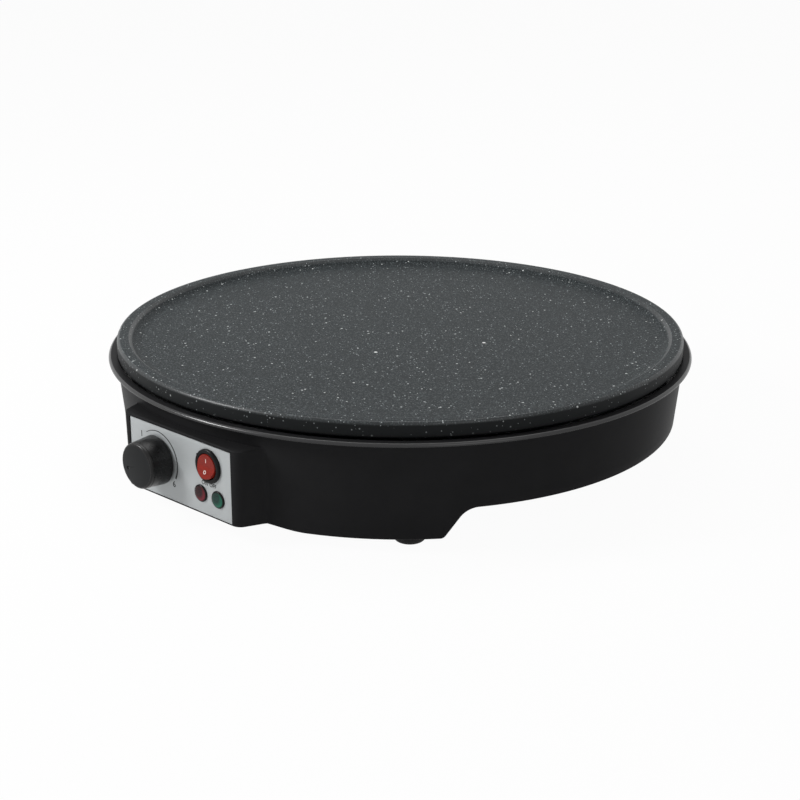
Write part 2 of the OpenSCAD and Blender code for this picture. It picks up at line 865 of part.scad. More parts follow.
module temperature_knob() {
    taper = (knob_d - knob_face_d) / 2 / knob_l;
    groove_y = knob_l - 2.4;
    hub_r = shaft_d / 2 + 1.8;
    bore_l = knob_l - 2.2;
    color(BLACK)
        on_panel([knob_pos.x, knob_foot, knob_pos.z])
            difference() {
                rotate_extrude()
                    difference() {
                        polygon(concat(
                            [[0, 0], [knob_d / 2, 0], [knob_d / 2 - taper * groove_y, groove_y],
                                [knob_d / 2 - taper * groove_y - 0.25, groove_y + 0.1],
                                [knob_d / 2 - taper * groove_y - 0.25, groove_y + 0.4],
                                [knob_d / 2 - taper * groove_y - 0.05, groove_y + 0.5]],
                            arc([knob_face_d / 2 - knob_edge_r, knob_l - knob_edge_r], knob_edge_r, 0, 90),
                            [[0, knob_l]]));
                        translate([hub_r, -1])
                            square([knob_d / 2 - knob_wall - hub_r, knob_l - 2 + 1]);
                        translate([-1, -1])
                            square([hub_r + 2, bush_out - 0.8 + slip + 1]);
                    }
                difference() {
                    translate([0, 0, -1])
                        cylinder(r = shaft_d / 2 + fit, h = bore_l + 1);
                    translate([-shaft_d, shaft_d / 4 + fit, bush_out])
                        cube([2 * shaft_d, shaft_d, knob_l]);
                }
                rotate([0, 0, pointer_angle])
                    translate([knob_face_d / 2 - 4.2, 0, knob_l - 0.5])
                        cylinder(r = 0.8, h = 1, $fn = 32);
            }
}
module thermostat_shaft() {
    inner = 3;
    flat_l = knob_foot - bush_out - shaft_end;
    color(STEEL)
        on_panel([knob_pos.x, shaft_end, knob_pos.z])
            difference() {
                translate([0, 0, -(cavity_y + inner - shaft_end)])
                    cylinder(r = shaft_d / 2, h = cavity_y + inner - shaft_end);
                translate([-shaft_d, shaft_d / 4, -flat_l])
                    cube([2 * shaft_d, shaft_d, flat_l + 1]);
            }
}
module thermostat_body() {
    color("#d8d3c6")
        difference() {
            union() {
                translate([knob_pos.x - stat_w / 2, cavity_y, knob_pos.z - stat_h / 2])
                    cube([stat_w, stat_depth, stat_h]);
                on_panel([knob_pos.x, cavity_y, knob_pos.z])
                    translate([0, 0, -1])
                        cylinder(r = bush_d / 2, h = cavity_y - panel_y + bush_out + 1);
            }
            on_panel([knob_pos.x, cavity_y, knob_pos.z])
                translate([0, 0, -3.5])
                    cylinder(r = shaft_d / 2 + fit, h = 30);
        }
}
module thermostat_bush_nut() {
    color(STEEL)
        on_panel(knob_pos)
            difference() {
                cylinder(r = 7.5, h = nut_t, $fn = 6);
                translate([0, 0, -1])
                    cylinder(r = bush_d / 2 + fit, h = nut_t + 2);
            }
}

// Two tabs at the back of the thermostat, which point to the rear of the base
stat_back = cavity_y + stat_depth;
stat_tab_x = [knob_pos.x - 6, knob_pos.x + 6];
stat_tab_z = knob_pos.z - 3;
module rear_tab(place) {
    translate(place)
        translate([-tab_t / 2, 0, -tab_w / 2])
            cube([tab_t, tab_l, tab_w]);
}
module thermostat_tabs() {
    color(BRASS)
        for (x = stat_tab_x)
            rear_tab([x, stat_back, stat_tab_z]);
}

// A receptacle on a tab that points to the rear
module rear_receptacle(place) {
    translate(place)
        rotate([-90, 0, 0])
            rotate([0, 0, 90])
                receptacle();
}

capillary_r = 0.8;
capillary_z = knob_pos.z + stat_h / 2 - 2;
module capillary_tube() {
    color(BRASS)
        wire([[knob_pos.x, stat_back, capillary_z], [knob_pos.x, stat_back + 10, capillary_z],
            [sensor_hole.x, sensor_hole.y - 24, capillary_z - 1],
            [sensor_hole.x, sensor_hole.y, capillary_z - 1], [sensor_hole.x, sensor_hole.y, bulb_z],
            [-bulb_l / 2, bulb_y, bulb_z]], capillary_r);
}
module sensor_bulb() {
    color(BRASS)
        translate([-bulb_l / 2, bulb_y, bulb_z])
            rotate([0, 90, 0])
                cylinder(r = bulb_d / 2, h = bulb_l, $fn = 48);
}
module bulb_clip() {
    color(STEEL)
        translate([0, bulb_y, plate_under])
            difference() {
                strap(bulb_d / 2);
                strap_holes(bulb_d / 2);
            }
}

// ---- Control panel, switch and lamps ----

module control_panel() {
    color("#bfc2c4")
        difference() {
            translate([0, panel_y + panel_t, 0])
                rotate([90, 0, 0])
                    linear_extrude(panel_t)
                        panel_outline(0);
            panel_holes(1);
        }
}

module switch_body() {
    bore_l = rocker_r + slip;
    color(BLACK)
        on_panel(switch_pos)
            difference() {
                union() {
                    rotate_extrude()
                        polygon(concat([[0, 0], [bezel_d / 2, 0], [bezel_d / 2, bezel_h - 0.9]],
                            arc([bezel_d / 2 - 0.9, bezel_h - 0.9], 0.9, 0, 90, 4), [[0, bezel_h]]));
                    translate([0, 0, -switch_depth])
                        cylinder(r = barrel_r, h = switch_depth + bezel_h / 2);
                }
                translate([0, 0, bezel_h - pivot_drop - bore_l])
                    cylinder(r = pivot_bore_r, h = bore_l + 2);
                translate([-barrel_r + 0.3, 0, bezel_h - pivot_drop])
                    rotate([0, 90, 0])
                        cylinder(r = pin_r + fit, h = 2 * barrel_r - 0.6, $fn = 48);
            }
}

// The rocker tips about X; its face is a shallow V, and its side is round about the pivot
module rocker_button() {
    color("#c0281e")
        translate([switch_pos.x, rocker_y, switch_pos.z])
            rotate([-rocker_tilt, 0, 0]) {
                intersection() {
                    sphere(r = rocker_r);
                    rotate([90, 0, 90])
                        translate([0, 0, -rocker_r])
                            linear_extrude(2 * rocker_r)
                                polygon([[-rocker_dip, 0],
                                    [-rocker_dip - rocker_r * tan(rocker_tilt), rocker_r],
                                    [rocker_r * 0.6, rocker_r], [rocker_r * 0.6, -rocker_r],
                                    [-rocker_dip - rocker_r * tan(rocker_tilt), -rocker_r]]);
                }
                rotate([0, 90, 0])
                    translate([0, 0, -barrel_r + 0.4])
                        cylinder(r = pin_r, h = 2 * barrel_r - 0.8, $fn = 48);
            }
}
switch_back = panel_y + switch_depth;
switch_tab_dz = 4;
module switch_tabs() {
    color(BRASS)
        for (s = [-1, 1])
            rear_tab([switch_pos.x + s * 3.5, switch_back, switch_pos.z]);
}

lens_l = 10;
lens_h = 0.9;
module lamp_lens(place, tint) {
    color(tint)
        on_panel([lamp_x[place], panel_y, lamp_z])
            rotate_extrude()
                difference() {
                    union() {
                        polygon(concat([[0, 0], [lamp_d / 2, 0]],
                            arc([lamp_d / 2 - 0.6, lens_h - 0.6], 0.6, 0, 90, 4), [[0, lens_h]]));
                        translate([0, -lens_l])
                            square([lamp_barrel_r, lens_l + lens_h / 2]);
                    }
                    translate([-1, -lens_l - 1])
                        square([lamp_barrel_r - 0.8 + 1, lens_l]);
                }
}
module red_lamp_lens() lamp_lens(0, "#7a1420");
module green_lamp_lens() lamp_lens(1, "#145a3c");

holder_l = 5;
neon_r = 1.5;
module neon_lamps() {
    color("#e8e0d8")
        for (x = lamp_x)
            on_panel([x, panel_y + lens_l + holder_l - 1, lamp_z]) {
                cylinder(r = neon_r, h = 8, $fn = 32);
                translate([0, 0, 8])
                    sphere(r = neon_r, $fn = 32);
            }
}
module lamp_holders() {
    color("#e6e1d4")
        for (x = lamp_x)
            on_panel([x, panel_y + lens_l + holder_l, lamp_z])
                difference() {
                    union() {
                        cylinder(r = lamp_barrel_r, h = holder_l);
                        cylinder(r = lamp_barrel_r - 0.8 - fit, h = holder_l + 2);
                    }
                    translate([0, 0, 1])
                        cylinder(r = neon_r + fit, h = holder_l + 2);
                }
}

// ---- Terminal block, fuse and wires ----

pole_x = [-pole_pitch, 0, pole_pitch];
block_front = block_y - block_l / 2;
wire_bite = 3;
module terminal_block() {
    color("#ece8dc")
        difference() {
            translate([-block_w / 2, block_front, block_z])
                cube([block_w, block_l, block_h]);
            for (x = pole_x) {
                translate([x, block_front - 1, pole_z])
                    rotate([-90, 0, 0])
                        cylinder(r = wire_r + slip, h = block_l + 2, $fn = 32);
                for (s = [-1, 1])
                    translate([x, block_y + s * block_l / 4, pole_z])
                        cylinder(r = 2, h = block_h, $fn = 32);
            }
            for (s = [-1, 1])
                translate([s * pole_pitch / 2, block_y, block_z - 1])
                    cylinder(r = m3_r + 0.1, h = block_h + 2);
        }
}
module terminal_screws() {
    color(BRASS)
        for (x = pole_x)
            for (s = [-1, 1])
                translate([x, block_y + s * block_l / 4, pole_z + wire_r])
                    difference() {
                        cylinder(r = 1.9, h = 3, $fn = 32);
                        translate([-2.5, -0.3, 2])
                            cube([5, 0.6, 2]);
                    }
}
module block_screws() {
    color(STEEL)
        for (s = [-1, 1])
            translate([s * pole_pitch / 2, block_y, block_z + block_h])
                mirror([0, 0, 1])
                    pan_screw(m3_r, block_h + pad_h + 1, 2.6, 1.8);
}

module thermal_fuse() {
    color(STEEL)
        translate([fuse_pos.x - fuse_l / 2, fuse_pos.y, fuse_pos.z])
            rotate([0, 90, 0])
                cylinder(r = fuse_r, h = fuse_l, $fn = 32);
}
module fuse_clip() {
    color(STEEL)
        translate([fuse_pos.x, fuse_pos.y, shield_under]) {
            strap(fuse_r);
            for (s = [-1, 1])
                translate([0, s * strap_screw_y(fuse_r), -eps])
                    cylinder(r = m3_r, h = shield_t + eps);
        }
}

low_z = cover_top + wire_r + 0.5;          // height of the wires that lie along the cover
tab_mid = tab_l / 2 + 1;
feed_start = [stat_tab_x[1], stat_back + tab_l + 1, stat_tab_z];
feed_end = [ends_x, ends_y, end_z - bead_h - tab_mid];
neutral_end = [-ends_x, ends_y, end_z - bead_h - tab_mid];
switch_tab_y = switch_back + tab_l + 1;
flag_y = 1.6;                              // half the thickness of a receptacle

// A receptacle on a tab that points down
module down_receptacle(x) {
    translate([x, ends_y, end_z - bead_h])
        mirror([0, 0, 1])
            receptacle();
}

module live_wire() {
    color("#6b3f22") {
        wire([[pole_x[2], block_front + wire_bite, pole_z], [pole_x[2], block_front - 8, pole_z],
            [46, block_front - 16, low_z], [58, 0, low_z], [48, -80, low_z],
            [switch_pos.x + 3.5, switch_tab_y + 16, switch_pos.z],
            [switch_pos.x + 3.5, switch_tab_y, switch_pos.z]], wire_r);
        rear_receptacle([switch_pos.x + 3.5, switch_back, switch_pos.z]);
    }
}
module switch_wire() {
    color("#6b3f22") {
        wire([[switch_pos.x - 3.5, switch_tab_y, switch_pos.z],
            [switch_pos.x - 3.5, switch_tab_y + 9, switch_pos.z], [6, switch_tab_y + 9, 34],
            [-12, switch_tab_y + 9, 33], [stat_tab_x[0], switch_tab_y + 9, stat_tab_z],
            feed_start - [12, 0, 0]], wire_r);
        rear_receptacle([switch_pos.x - 3.5, switch_back, switch_pos.z]);
        rear_receptacle([stat_tab_x[0], stat_back, stat_tab_z]);
    }
}
module feed_wire() {
    color("#6b3f22") {
        wire([feed_start, feed_start + [0, 8, 0], [2, ends_y - 14, fuse_pos.z - 4],
            [2, fuse_pos.y, fuse_pos.z], [fuse_pos.x - fuse_l / 2, fuse_pos.y, fuse_pos.z]], wire_r);
        wire([[fuse_pos.x + fuse_l / 2, fuse_pos.y, fuse_pos.z],
            [fuse_pos.x + fuse_l / 2 + 12, fuse_pos.y, fuse_pos.z],
            [fuse_pos.x + 12, ends_y + 6, feed_end.z], [ends_x + 12, ends_y + 12, feed_end.z],
            [feed_end.x, feed_end.y + 12, feed_end.z], [feed_end.x, feed_end.y + flag_y, feed_end.z]],
            wire_r);
        rear_receptacle([stat_tab_x[1], stat_back, stat_tab_z]);
        down_receptacle(ends_x);
    }
}
module neutral_wire() {
    color("#2f5fa8") {
        wire([[neutral_end.x, neutral_end.y + flag_y, neutral_end.z],
            [neutral_end.x, neutral_end.y + 14, neutral_end.z], [-30, -50, low_z], [-44, 10, low_z],
            [pole_x[0], block_front - 12, pole_z], [pole_x[0], block_front + wire_bite, pole_z]], wire_r);
        down_receptacle(-ends_x);
    }
}
module earth_wire() {
    color("#7aa53a") {
        wire([[pole_x[1], block_front + wire_bite, pole_z], [pole_x[1], block_front - 8, pole_z],
            [earth_hole.x, earth_y + 8, low_z + 6], [earth_hole.x, earth_y, low_z + 8],
            [earth_hole.x, earth_y, tag_z - 4], [earth_hole.x, earth_y, tag_z + tag_t / 2],
            [earth_boss_r + 2, earth_y, tag_z + tag_t / 2]], 1);
        difference() {
            union() {
                translate([0, earth_y, tag_z])
                    cylinder(r = 4, h = tag_t);
                translate([0, earth_y - 1.5, tag_z])
                    cube([earth_boss_r + 2, 3, tag_t]);
            }
            translate([0, earth_y, tag_z - 1])
                cylinder(r = m4_r + 0.2, h = tag_t + 2);
        }
    }
}
module earth_screw() {
    color(BRASS)
        translate([0, earth_y, tag_z])
            pan_screw(m4_r, tag_t + earth_screw_grip, 3.6, 2.4);
}

// Each lamp has one lead to the switch tab above it, and one to the element's neutral tab
module lamp_wires() {
    back = panel_y + lens_l + holder_l;
    over = cover_top + 2.2;
    color("#e4e0d6")
        for (i = [0, 1]) {
            x = lamp_x[i];
            tab_x = switch_pos.x + (2 * i - 1) * 3.5;
            wire([[x - 1.2, back, lamp_z], [x - 1.2, back + 5.5, lamp_z], [tab_x, back + 5.5, lamp_z + 6],
                [tab_x, back + 5.5, switch_pos.z - tab_w / 2 - 0.8]], lead_r);
            wire([[x + 1.2, back, lamp_z], [x + 1.2, back + 9, lamp_z],
                [16 + 2 * i, back + 17.5 + 2 * i, over], [4 + 2 * i, ends_y - 19 + 2 * i, over],
                [3 * i - ends_x - 1.5, ends_y - 5 + i, over], [3 * i - ends_x - 1.5, ends_y, over + 1],
                [3 * i - ends_x - 1.5, ends_y, end_z - bead_h - tab_l - 1]], lead_r);
        }
}

// ---- Cord gland in the rear wall ----

module at_gland(y) {
    translate([0, y, gland_z])
        rotate([-90, 0, 0])
            children();
}
module hexagon(af, h) {
    cylinder(r = af / 2 / cos(30), h = h, $fn = 6);
}
module gland_body() {
    color(BLACK)
        difference() {
            union() {
                at_gland(pad_inner - locknut_t - 1)
                    cylinder(r = shank_r, h = pad_face - pad_inner + locknut_t + 2);
                at_gland(pad_face)
                    hexagon(flange_af, flange_t);
                at_gland(cap_y - 1)
                    cylinder(r = neck_r, h = neck_l + 1);
            }
            at_gland(pad_inner - 10)
                cylinder(r = cord_r + 0.4, h = 60);
            at_gland(cap_y + neck_l - seal_l)
                cylinder(r = seal_r, h = 2 * seal_l);
        }
}
module gland_locknut() {
    color(BLACK)
        at_gland(pad_inner - locknut_t)
            difference() {
                hexagon(flange_af, locknut_t);
                translate([0, 0, -1])
                    cylinder(r = shank_r + fit, h = locknut_t + 2);
            }
}
module gland_seal() {
    color(RUBBER)
        at_gland(cap_y + neck_l - seal_l)
            difference() {
                cylinder(r = seal_r - fit, h = seal_l);
                translate([0, 0, -1])
                    cylinder(r = cord_r, h = 8);
            }
}
module gland_cap() {
    hex_l = 7;
    cap_r = flange_af / 2 - 0.6;
    color(BLACK)
        at_gland(cap_y)
            difference() {
                union() {
                    hexagon(flange_af - 1, hex_l);
                    translate([0, 0, hex_l])
                        rotate_extrude()
                            polygon(concat([[0, -1], [cap_r, -1]],
                                arc([cap_r - 4, gland_cap_l - hex_l - 4], 4, 0, 90),
                                [[0, gland_cap_l - hex_l]]));
                }
                translate([0, 0, -1])
                    cylinder(r = neck_r + fit, h = neck_l + 1);
                translate([0, 0, -1])
                    cylinder(r = cord_r + 0.2, h = gland_cap_l + 2);
            }
}

griddle_plate();
base_shell();
bottom_cover();
control_panel();
temperature_knob();
thermostat_shaft();
thermostat_bush_nut();
thermostat_body();
thermostat_tabs();
capillary_tube();
sensor_bulb();
bulb_clip();
switch_body();
rocker_button();
switch_tabs();
red_lamp_lens();
green_lamp_lens();
neon_lamps();
lamp_holders();
foot_front_left();
foot_front_right();
foot_rear_left();
foot_rear_right();
foot_screws();
cover_screws();
plate_spacers();
plate_screws();
heat_shield();
heating_element();
element_insulators();
element_tabs();
element_clamps();
clamp_screws();
thermal_fuse();
fuse_clip();
terminal_block();
terminal_screws();
block_screws();
live_wire();
switch_wire();
feed_wire();
neutral_wire();
earth_wire();
lamp_wires();
earth_screw();
gland_body();
gland_locknut();
gland_seal();
gland_cap();
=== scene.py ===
"""An electric crepe maker: the looks of its plate, moulded base and control box."""
from __future__ import annotations

import json
import logging
import math
from dataclasses import dataclass, field
from enum import Enum

import bmesh
import bpy
import numpy as np
from mathutils import Matrix, Vector


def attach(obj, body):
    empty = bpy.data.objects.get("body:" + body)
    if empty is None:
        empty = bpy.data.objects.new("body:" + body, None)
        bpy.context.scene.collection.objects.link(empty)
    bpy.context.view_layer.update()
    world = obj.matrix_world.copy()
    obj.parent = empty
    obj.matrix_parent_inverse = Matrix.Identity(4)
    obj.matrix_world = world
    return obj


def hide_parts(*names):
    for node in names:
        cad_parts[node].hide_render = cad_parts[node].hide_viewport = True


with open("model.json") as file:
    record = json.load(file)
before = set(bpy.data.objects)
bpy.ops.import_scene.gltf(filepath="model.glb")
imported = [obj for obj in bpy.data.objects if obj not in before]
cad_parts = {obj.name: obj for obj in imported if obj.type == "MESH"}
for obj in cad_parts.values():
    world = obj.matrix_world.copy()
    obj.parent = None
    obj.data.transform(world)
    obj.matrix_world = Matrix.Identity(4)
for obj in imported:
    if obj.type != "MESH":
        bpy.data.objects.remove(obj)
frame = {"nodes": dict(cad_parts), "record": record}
LOG = logging.getLogger("crepe_maker")
MM = 0.001
UPRIGHT = Matrix.Rotation(math.radians(90), 4, "X")

Point = tuple[float, float]
Place = tuple[float, float, float]
Mesh = bpy.types.Mesh
Material = bpy.types.Material
Tree = bpy.types.NodeTree
Node = bpy.types.Node
Socket = bpy.types.NodeSocket


class Body(Enum):
    """The bodies that a piece can ride on."""

    BASE = "base"
    KNOB = "knob"
    ROCKER = "rocker"


# ---- Nodes and colours ----


def to_linear(colour: str) -> tuple[float, float, float, float]:
    """Turns an sRGB hex colour to linear.

    Args:
        colour: the colour as "#rrggbb".

    Returns:
        Linear red, green, blue and an alpha of 1.
    """
    parts = [int(colour[i : i + 2], 16) / 255 for i in (1, 3, 5)]
    linear = [c / 12.92 if c <= 0.04045 else ((c + 0.055) / 1.055) ** 2.4 for c in parts]
    return (linear[0], linear[1], linear[2], 1.0)


def feed(node: Node, inputs: dict) -> None:
    """Sets or links a node's inputs.

    Args:
        node: the node.
        inputs: by name or index, a value, an output socket, or a node that gives its first output.
    """
    for key, value in inputs.items():
        source = value.outputs[0] if isinstance(value, Node) else value
        if isinstance(source, Socket):
            node.id_data.links.new(source, node.inputs[key])
        else:
            node.inputs[key].default_value = source


def add(tree: Tree, kind: str, settings: dict | None = None, inputs: dict | None = None) -> Node:
    """Adds a node with its settings, values and links.

    Args:
        tree: the node tree.
        kind: the node's type name.
        settings: attributes of the node.
        inputs: what goes into it, as feed() takes it.

    Returns:
        The node.
    """
    node = tree.nodes.new(kind)
    for key, value in (settings or {}).items():
        setattr(node, key, value)
    feed(node, inputs or {})
    return node


def fade(amount: Node | Socket, band: Point, low: float = 0.0, high: float = 1.0) -> dict:
    """Inputs that fade one value into another over a band of an amount.

    Args:
        amount: what is measured.
        band: the amounts at which the fade starts and ends.
        low: the value before the band.
        high: the value past it.

    Returns:
        The inputs of a Map Range node.
    """
    return {"Value": amount, "From Min": band[0], "From Max": band[1], "To Min": low, "To Max": high}


def pattern(size_mm: float, detail: float) -> dict:
    """Inputs of a noise whose features are about size_mm across."""
    return {"Scale": 1 / (size_mm * MM), "Detail": detail}


def emptied(owner: Material | bpy.types.World) -> Tree:
    """Switches the nodes of a material or a world on and clears them.

    Args:
        owner: the material or the world.

    Returns:
        Its empty tree.
    """
    owner.use_nodes = True
    owner.node_tree.nodes.clear()
    return owner.node_tree


# ---- Meshes, in millimetres ----


def arc(centre: Point, radius: float, start: float, end: float, steps: int = 10) -> list[Point]:
    """Points on an arc.

    Args:
        centre: its centre.
        radius: its radius.
        start: its first angle in degrees.
        end: its last angle in degrees.
        steps: number of chords.

    Returns:
        The points, both ends included.
    """
    turns = [math.radians(start + (end - start) * i / steps) for i in range(steps + 1)]
    return [(centre[0] + radius * math.cos(t), centre[1] + radius * math.sin(t)) for t in turns]


def rectangle(half_width: float, low: float, high: float) -> list[Point]:
    """The corners of a rectangle that is centred across."""
    return [(-half_width, low), (half_width, low), (half_width, high), (-half_width, high)]


def around(azimuth: float, radius: float, height: float) -> Vector:
    """A place round the axis: azimuth 0 is -Y and 90 is +X."""
    turn = math.radians(azimuth)
    return Vector((radius * math.sin(turn), -radius * math.cos(turn), height))


def woven(loops: int, points: int, round_loops: bool = True, round_points: bool = True) -> list:
    """Quads between neighbouring loops of points.

    Args:
        loops: number of loops.
        points: number of points in each loop.
        round_loops: whether the last loop meets the first.
        round_points: whether the last point of a loop meets its first.

    Returns:
        The faces, as vertex numbers.
    """
    faces = []
    for i in range(loops if round_loops else loops - 1):
        here, there = i * points, (i + 1) % loops * points
        for k in range(points if round_points else points - 1):
            after = (k + 1) % points
            faces.append((here + k, here + after, there + after, there + k))
    return faces


def mesh_from(name: str, points: list, faces: list) -> Mesh:
    """Makes a mesh whose faces point outwards.

    Args:
        name: the mesh's name.
        points: its vertices.
        faces: its faces, as vertex numbers.

    Returns:
        The mesh.
    """
    mesh = bpy.data.meshes.new(name)
    mesh.from_pydata([tuple(p) for p in points], [], faces)
    tidy(mesh)
    return mesh


def tidy(mesh: Mesh) -> None:
    """Merges a closed mesh's doubles and turns its faces outwards.

    Args:
        mesh: the mesh.
    """
    work = bmesh.new()
    work.from_mesh(mesh)
    bmesh.ops.remove_doubles(work, verts=work.verts, dist=1e-4)
    bmesh.ops.recalc_face_normals(work, faces=work.faces)
    work.to_mesh(mesh)
    work.free()


def prism(name: str, outline: list[Point], low: float, high: float, place: Matrix, soft: float = 0.0) -> Mesh:
    """Extrudes an outline along Z.

    Args:
        name: the mesh's name.
        outline: its corners, in order.
        low: height of its back.
        high: height of its front.
        place: the frame that it is drawn in.
        soft: radius of its front edges.

    Returns:
        The closed mesh.
    """
    work = bmesh.new()
    ends = [[work.verts.new((x, y, z)) for x, y in outline] for z in (low, high)]
    work.faces.new(ends[0][::-1])
    front = work.faces.new(ends[1])
    count = len(outline)
    for i in range(count):
        j = (i + 1) % count
        work.faces.new((ends[0][i], ends[0][j], ends[1][j], ends[1][i]))
    if soft:
        bmesh.ops.bevel(work, geom=list(front.edges), offset=soft, segments=3, profile=0.5, affect="EDGES")
    bmesh.ops.recalc_face_normals(work, faces=work.faces)
    mesh = bpy.data.meshes.new(name)
    work.to_mesh(mesh)
    work.free()
    mesh.transform(place)
    return mesh


def cylinder(radius: float, low: float, high: float, place: Matrix, sides: int, grow: float = 0.0) -> Mesh:
    """A closed cylinder or cone, used as a cutter or a plain core.

    Args:
        radius: its radius at its low end.
        low: its low end.
        high: its high end.
        place: the frame that it is drawn in.
        sides: number of its sides.
        grow: how much wider its high end is.

    Returns:
        The mesh.
    """
    turns = [2 * math.pi * i / sides for i in range(sides)]
    points = [(r * math.cos(t), r * math.sin(t), z)
              for r, z in ((radius, low), (radius + grow, high)) for t in turns]
    ends = [tuple(range(sides))[::-1], tuple(range(sides, 2 * sides))]
    mesh = mesh_from("cylinder", points, ends + woven(2, sides, round_loops=False))
    mesh.transform(place)
    return mesh


def joined(name: str, meshes: list[Mesh]) -> Mesh:
    """Joins meshes into one, each still a closed shell of its own.

    Args:
        name: the new mesh's name.
        meshes: the meshes.

    Returns:
        The new mesh.
    """
    work = bmesh.new()
    for mesh in meshes:
        work.from_mesh(mesh)
    whole = bpy.data.meshes.new(name)
    work.to_mesh(whole)
    work.free()
    return whole


def linked(name: str, data: bpy.types.ID) -> bpy.types.Object:
    """Makes an object of a mesh, a curve, a light or a camera and links it to the scene.

    Args:
        name: the object's name.
        data: what it holds.

    Returns:
        The object.
    """
    thing = bpy.data.objects.new(name, data)
    bpy.context.scene.collection.objects.link(thing)
    return thing


def settled(thing: bpy.types.Object) -> Mesh:
    """An object's shape with its modifiers applied, as a plain mesh."""
    graph = bpy.context.evaluated_depsgraph_get()
    return bpy.data.meshes.new_from_object(thing.evaluated_get(graph))


def carved(mesh: Mesh, cutters: list[Mesh]) -> Mesh:
    """Cuts closed meshes out of a closed mesh.

    Args:
        mesh: the mesh that is cut.
        cutters: what is cut out of it.

    Returns:
        The new mesh.
    """
    target = linked("carving", mesh)
    tools = [linked("cutter", cutter) for cutter in cutters]
    for tool in tools:
        step = target.modifiers.new("cut", "BOOLEAN")
        step.operation, step.solver, step.object = "DIFFERENCE", "EXACT", tool
    result = settled(target)
    for thing in [target, *tools]:
        bpy.data.objects.remove(thing)
    return result


def finished(name: str, mesh: Mesh, finish: Material, body: Body,
             replaces: tuple[str, ...] = (), crease: float = 35.0) -> bpy.types.Object:
    """Makes a mesh in millimetres a finished piece of the object.

    Args:
        name: the piece's name.
        mesh: its mesh, in millimetres.
        finish: its material.
        body: the body that it rides on.
        replaces: the nodes that it stands for.
        crease: edges that turn by more than this angle stay sharp.

    Returns:
        The object.
    """
    mesh.transform(Matrix.Scale(MM, 4))
    mesh.name = name
    mesh.materials.clear()
    mesh.materials.append(finish)
    mesh.polygons.foreach_set("material_index", [0] * len(mesh.polygons))
    mesh.shade_smooth()
    mesh.set_sharp_from_angle(angle=math.radians(crease))
    piece = linked(name, mesh)
    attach(piece, body.value)
    if replaces:
        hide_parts(*replaces)
    LOG.info("%s: %d faces on %s", name, len(mesh.polygons), body.value)
    return piece


# ---- Geometry Nodes: turned pieces and repeated ones ----


def new_tree(name: str, inputs: dict[str, str], output: str) -> Tree:
    """Starts a Geometry Nodes tree.

    Args:
        name: its name.
        inputs: the kind of each of its inputs, by name.
        output: the name of the shape that it gives.

    Returns:
        The tree.
    """
    tree = bpy.data.node_groups.new(name, "GeometryNodeTree")
    for key, kind in inputs.items():
        tree.interface.new_socket(key, in_out="INPUT", socket_type="NodeSocket" + kind)
    tree.interface.new_socket(output, in_out="OUTPUT", socket_type="NodeSocketGeometry")
    return tree


def run_tree(name: str, source: Mesh, tree: Tree, values: dict) -> Mesh:
    """Runs a Geometry Nodes tree on a mesh and keeps its result as a plain mesh.

    Args:
        name: the new mesh's name.
        source: the mesh that goes in.
        tree: the tree.
        values: its inputs by name.

    Returns:
        The plain mesh.
    """
    carrier = linked(name, source)
    step = carrier.modifiers.new("shape", "NODES")
    step.node_group = tree
    sockets = {s.name: s.identifier for s in tree.interface.items_tree if s.in_out == "INPUT"}
    for key, value in values.items():
        step[sockets[key]] = value
    mesh = settled(carrier)
    carrier.modifiers.remove(step)
    bpy.data.objects.remove(carrier)
    return mesh


